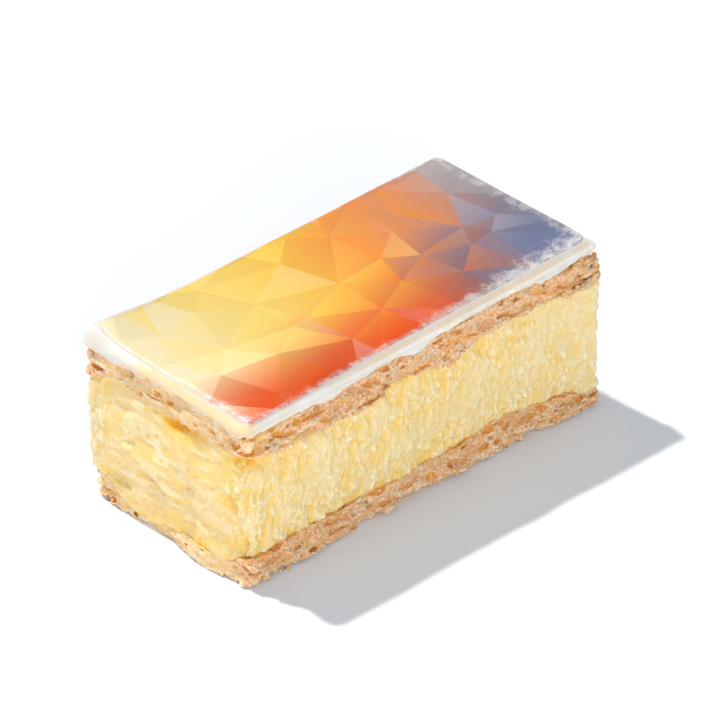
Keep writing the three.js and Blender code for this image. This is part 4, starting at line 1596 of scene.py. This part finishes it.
@dataclass
class PrintedSheet(SubAssembly):
    """The thin printed sugar sheet: facets cut into a plate with rounded corners and a soft edge."""

    node: str = "print_sheet"
    finish: PrintFinish = PrintFinish()
    design: FacetPrint = FacetPrint()
    columns: int = 11
    rows: int = 6
    outline_step: float = 2.0
    split: int = 4
    stretch: float = 1.0
    seed: int = 7319
    veil: float = 0.75

    def seeds(self) -> Array:
        """Corners of the facets: an uneven lattice, each point moved at random, reaching past the sheet."""
        s, rng = self.shape, np.random.default_rng(self.seed)
        pitch_x, pitch_y = s.sheet_length / (self.columns - 2), s.sheet_width / (self.rows - 2)
        column, row = np.meshgrid(np.arange(self.columns + 1), np.arange(self.rows + 1), indexing="ij")
        x = (column - self.columns / 2 + 0.5 * (row % 2)) * pitch_x
        y = (row - self.rows / 2) * pitch_y
        moved = rng.uniform(-0.42, 0.42, (2, *x.shape))
        return np.stack([x + moved[0] * pitch_x, y + moved[1] * pitch_y], axis=-1).reshape(-1, 2)

    @staticmethod
    def triangulated(points: Array, sides: list, loops: list) -> tuple[Array, Array]:
        """Joins points of a plane into triangles by Delaunay's rule.

        Args:
            points: The points.
            sides: Pairs of points that have to be joined.
            loops: Rings of points that have to be followed.

        Returns:
            The points, with those where sides cross, and the triangles.
        """
        made = delaunay_2d_cdt([Vector(p) for p in points], sides, loops, 0, 1e-6)
        return np.array([tuple(v) for v in made[0]]), np.array([f for f in made[2] if len(f) == 3])

    def plate(self, corners: Array, triangles: Array) -> tuple[Array, Array]:
        """The sheet's outline cut along the facets' sides.

        Args:
            corners: The facets' corners.
            triangles: The facets.

        Returns:
            The points and triangles of the plate in plan.
        """
        s = self.shape
        o = Outline.rounded(s.sheet_length, s.sheet_width, s.sheet_corners, self.outline_step)
        edge = np.stack([o.x, o.y], axis=-1)
        sides = np.unique(np.sort(sides_of(triangles), axis=1), axis=0) + len(edge)
        pairs = [tuple(map(int, side)) for side in sides]
        places, faces = self.triangulated(np.concatenate([edge, corners]), pairs, [list(range(len(edge)))])
        middles = places[faces].mean(axis=1)
        return places, faces[self.rim(middles[:, 0], middles[:, 1]) > 0.0]

    def rim(self, x: Array, y: Array) -> Array:
        """Distance in from the sheet's edge: a rectangle's, with the nearest corner's radius taken off."""
        s, c = self.shape, self.shape.sheet_corners
        far, near = np.where(x > 0, c.far_right, c.far_left), np.where(x > 0, c.near_right, c.near_left)
        radius = np.where(y > 0, far, near)
        qx = np.abs(x) - s.sheet_length / 2 + radius
        qy = np.abs(y) - s.sheet_width / 2 + radius
        outside = np.hypot(np.maximum(qx, 0.0), np.maximum(qy, 0.0))
        return radius - outside - np.minimum(np.maximum(qx, qy), 0.0)

    def worn(self, x: Array, y: Array) -> Array:
        """Distance in from the edge, as a share of how far the wear reaches in from each of the sides."""
        a, b = self.shape.sheet_length / 2, self.shape.sheet_width / 2
        near = (y + b) / (1.3 + 3.0 * smoothstep(x / a, -0.2, 1.0))
        left = (x + a) / (0.6 + 2.4 * smoothstep(-y / b, 0.1, 1.0))
        far, right, far_left = (b - y) / 0.5, (a - x) / 2.6, (x + a + b - y) / 4.0
        return np.min([near, far, right, left, far_left], axis=0)

    def divided(self, places: Array, faces: Array) -> tuple[Array, Array, Array]:
        """Each triangle split into split by split smaller ones, with points that coincide joined.

        Args:
            places: The points in plan.
            faces: The triangles.

        Returns:
            The points in plan, the triangles, and which of the given triangles each lies in.
        """
        n = self.split
        i, j = (v.ravel() for v in np.meshgrid(np.arange(n + 1), np.arange(n + 1), indexing="ij"))
        kept = i + j <= n
        i, j = i[kept], j[kept]
        number = -np.ones((n + 1, n + 1), int)
        number[i, j] = np.arange(len(i))
        up = [(number[a, b], number[a + 1, b], number[a, b + 1]) for a in range(n) for b in range(n - a)]
        down = [(number[a + 1, b], number[a + 1, b + 1], number[a, b + 1])
                for a in range(n) for b in range(n - a - 1)]
        pattern = np.array(up + down)
        shares = np.stack([n - i - j, i, j], axis=-1) / n
        points = np.einsum("sc,fcd->fsd", shares, places[faces]).reshape(-1, 2)
        small = (pattern[None] + (np.arange(len(faces)) * len(i))[:, None, None]).reshape(-1, 3)
        _, first, joined = np.unique(np.round(points, 4), axis=0, return_index=True, return_inverse=True)
        joined = joined.reshape(-1)
        return points[first], joined[small], np.repeat(np.arange(len(faces)), len(pattern))

    def build(self) -> list[Piece]:
        """Builds the sheet: a gently waved top, a side all round, and a flat underside.

        The near half is stretched out a little towards the near side, most on the left, where the sheet
        slipped before it set.

        Returns:
            The sheet, as one piece.
        """
        s = self.shape
        corners, triangles = self.triangulated(self.seeds(), [], [])
        places, faces = self.plate(corners, triangles)
        points, small, owner = self.divided(places, faces)
        facet = self._facet_of(places[faces].mean(axis=1), corners, triangles)[owner]
        rim = self.rim(points[:, 0], points[:, 1])
        drawn = self.stretch + 0.9 * smoothstep(-points[:, 0], 10.0, 42.0)
        drawn = drawn * smoothstep(-points[:, 1] / s.sheet_width, 0.0, 0.5)
        x, y = points[:, 0] + s.sheet_x, points[:, 1] + s.sheet_y - drawn
        soft = 0.27 * np.exp(-np.maximum(rim, 0.0) / 0.25)
        top = np.column_stack([x, y, s.sheet_low + s.sheet + s.ripple(x, y) - soft])
        skin = self._closed(top, small, self.worn(points[:, 0], points[:, 1]))
        piece = skin.to_object("print_sheet_facets", self.place)
        self._paint(piece, points, small, facet)
        return [piece]

    def _facet_of(self, middles: Array, corners: Array, triangles: Array) -> Array:
        """Which facet each place lies in: the one for which all three of its areas are positive.

        Args:
            middles: The places.
            corners: The facets' corners.
            triangles: The facets.

        Returns:
            The number of each place's facet.
        """
        a, b, c = (corners[triangles[:, i]] for i in range(3))

        def side(p: Array, q: Array) -> Array:
            """Twice the signed area of p, q and each middle."""
            return ((q[:, 0] - p[:, 0]) * (middles[:, None, 1] - p[:, 1])
                    - (q[:, 1] - p[:, 1]) * (middles[:, None, 0] - p[:, 0]))

        least = np.minimum(np.minimum(side(a, b), side(b, c)), side(c, a))
        return np.argmax(least, axis=1)

    def _closed(self, top: Array, small: Array, worn: Array) -> Skin:
        """Adds the side and the underside to the top.

        Args:
            top: The top's points.
            small: The top's triangles.
            worn: The top's wear.

        Returns:
            The closed skin, with its wear as the rim value.
        """
        sides = sides_of(small).astype(np.int64)
        keys, turned = sides[:, 0] * len(top) + sides[:, 1], sides[:, 1] * len(top) + sides[:, 0]
        border = sides[~np.isin(keys, turned)]
        below = top.copy()
        below[:, 2] = self.shape.sheet_low - 0.3
        used = np.unique(border)
        lower = np.full(len(top), -1)
        lower[used] = len(top) + np.arange(len(used))
        a, b = border.T
        walls = np.stack([b, a, lower[a], lower[b]], axis=-1)
        middle = len(top) + len(used)
        fan = np.stack([lower[b], lower[a], np.full(len(a), middle)], axis=-1)
        points = np.concatenate([top, below[used], below[used].mean(axis=0, keepdims=True)])
        values = np.concatenate([worn, np.zeros(len(used) + 1)])
        return Skin(points, walls, np.concatenate([small, fan]), {"rim": values})

    def _paint(self, piece: Piece, points: Array, small: Array, facet: Array) -> None:
        """Writes the print's colour to the corners of the faces: the design's run, and each facet's veil.

        A facet reads the design a little off its own place, is a little lighter or darker, and lies under a
        white veil that thickens across it.

        Args:
            piece: The sheet.
            points: The top's points in plan.
            small: The top's triangles.
            facet: The facet that each triangle lies in.
        """
        rng = np.random.default_rng(self.seed + 1)
        s, count = self.shape, int(facet.max()) + 1
        shade, shift = rng.normal(-0.05, 0.06, count), rng.uniform(-0.13, 0.13, (2, count))
        veil, turn = np.clip(rng.normal(0.01, 0.06, count), 0.0, 0.12), rng.uniform(0, 2 * math.pi, count)
        u, v = points[:, 0] / (s.sheet_length / 2), points[:, 1] / (s.sheet_width / 2)
        along = u[small] + shift[0][facet][:, None]
        across = v[small] + 1.3 * shift[1][facet][:, None]
        colours = self.design.colours(along.ravel(), across.ravel()).reshape(-1, 3, 3)
        way_x, way_y = np.cos(turn)[facet][:, None], np.sin(turn)[facet][:, None]
        way = way_x * points[small, 0] + way_y * points[small, 1]
        thick = (veil[facet][:, None] * (0.75 + 0.5 * np.sin(way / 5.0)))[..., None]
        colours = colours * (1.0 + shade[facet])[:, None, None]
        colours = colours * (1.0 - thick) + self.veil * thick
        mesh = piece.data
        layer = mesh.color_attributes.new("print", "FLOAT_COLOR", "CORNER")
        values = np.ones((len(mesh.loops), 4), np.float32)
        values[:, :3] = self.design.cream
        totals = np.zeros(len(mesh.polygons), np.int32)
        mesh.polygons.foreach_get("loop_total", totals)
        first = int(totals[totals == 4].sum())
        values[first:first + small.size, :3] = np.clip(colours.reshape(-1, 3), 0.0, 1.0)
        layer.data.foreach_set("color", values.ravel())


# ---- The studio ----


@dataclass
class Studio:
    """The floor, the lights and the camera."""

    place: Placement
    sensor: float = 36.0
    image_size: int = 705
    focal_pixels: float = 3854.9
    stand: Rgb = (-513.03, -558.02, 496.03)
    right: Rgb = (0.72882, -0.68454, -0.01484)
    up: Rgb = (0.36982, 0.37532, 0.84992)
    floor_half: float = 3.0
    floor_tint: Rgb = (0.84, 0.875, 0.925)
    surround: float = 0.42
    surround_tint: Rgb = (0.93, 1.0, 1.08)
    key_travel: Rgb = (0.09, -0.51, -0.855)
    key_strength: float = 2.5
    key_tint: Rgb = (1.04, 0.98, 0.93)
    key_spread: float = 2.5
    fill_power: float = 5.9
    fill_size: float = 0.5
    fill_tint: Rgb = (0.95, 0.99, 1.05)
    fill_from: Rgb = (-0.58, -0.91, 0.51)

    def floor(self) -> None:
        """A wide white floor."""
        mesh, half = bpy.data.meshes.new("floor"), self.floor_half
        corners = [(-half, -half, 0), (half, -half, 0), (half, half, 0), (-half, half, 0)]
        mesh.from_pydata(corners, [], [(0, 1, 2, 3)])
        floor = new_object("floor", mesh)
        material, bench, shader = new_material("Studio floor")
        bench.fill(shader, Base_Color=self.floor_tint, Roughness=0.8, Specular_IOR_Level=0.1)
        mesh.materials.append(material)

    def lights(self) -> None:
        """A hard key from behind, a wide soft fill from the camera's side, and a bright even surround."""
        world = bpy.data.worlds.new("Surround")
        world.use_nodes = True
        background = world.node_tree.nodes["Background"]
        Bench(world.node_tree).fill(background, Color=self.surround_tint, Strength=self.surround)
        bpy.context.scene.world = world
        key = bpy.data.lights.new("key", "SUN")
        key.energy, key.color, key.angle = self.key_strength, self.key_tint, math.radians(self.key_spread)
        lamp = new_object("key", key)
        lamp.rotation_euler = Vector(self.key_travel).to_track_quat("-Z", "Y").to_euler()
        fill = bpy.data.lights.new("fill", "AREA")
        fill.energy, fill.color, fill.size = self.fill_power, self.fill_tint, self.fill_size
        soft = new_object("fill", fill)
        soft.location = self.fill_from
        soft.rotation_euler = (Vector((0, 0, 0.02)) - soft.location).to_track_quat("-Z", "Y").to_euler()

    def camera(self) -> None:
        """A long lens, aimed along its right and up directions from where it stands."""
        data = bpy.data.cameras.new("camera")
        data.sensor_width = self.sensor
        data.lens = self.focal_pixels * self.sensor / self.image_size
        right, up = Vector(self.right).normalized(), Vector(self.up).normalized()
        turn = Matrix((right, up, right.cross(up))).transposed()
        stand = Vector(self.stand) + Vector((self.place.shift_x, self.place.shift_y, 0.0))
        camera = new_object("camera", data)
        camera.matrix_world = Matrix.Translation(stand * MM) @ turn.to_4x4()
        bpy.context.scene.camera = camera

    def build(self) -> None:
        """Sets up the whole studio."""
        self.floor()
        self.lights()
        self.camera()
        bpy.context.scene.view_settings.view_transform = "Standard"


def main() -> None:
    """Builds the slice and its studio in order."""
    logging.basicConfig(level=logging.INFO, format="%(message)s")
    shape = SliceShape()
    place = Placement.from_frame(shape)
    parts = (shape, place, SharedNodes())
    makers = (
        PastrySheet(*parts, Level.BOTTOM),
        CustardBlock(*parts),
        PastrySheet(*parts, Level.TOP),
        IcingGlaze(*parts),
        PrintedSheet(*parts),
    )
    for maker in makers:
        pieces = maker.build()
        maker.dress(pieces)
        for piece in pieces:
            LOG.info("%s: %d faces", piece.name, len(piece.data.polygons))
    Studio(place).build()


if __name__ == "__main__":
    main()
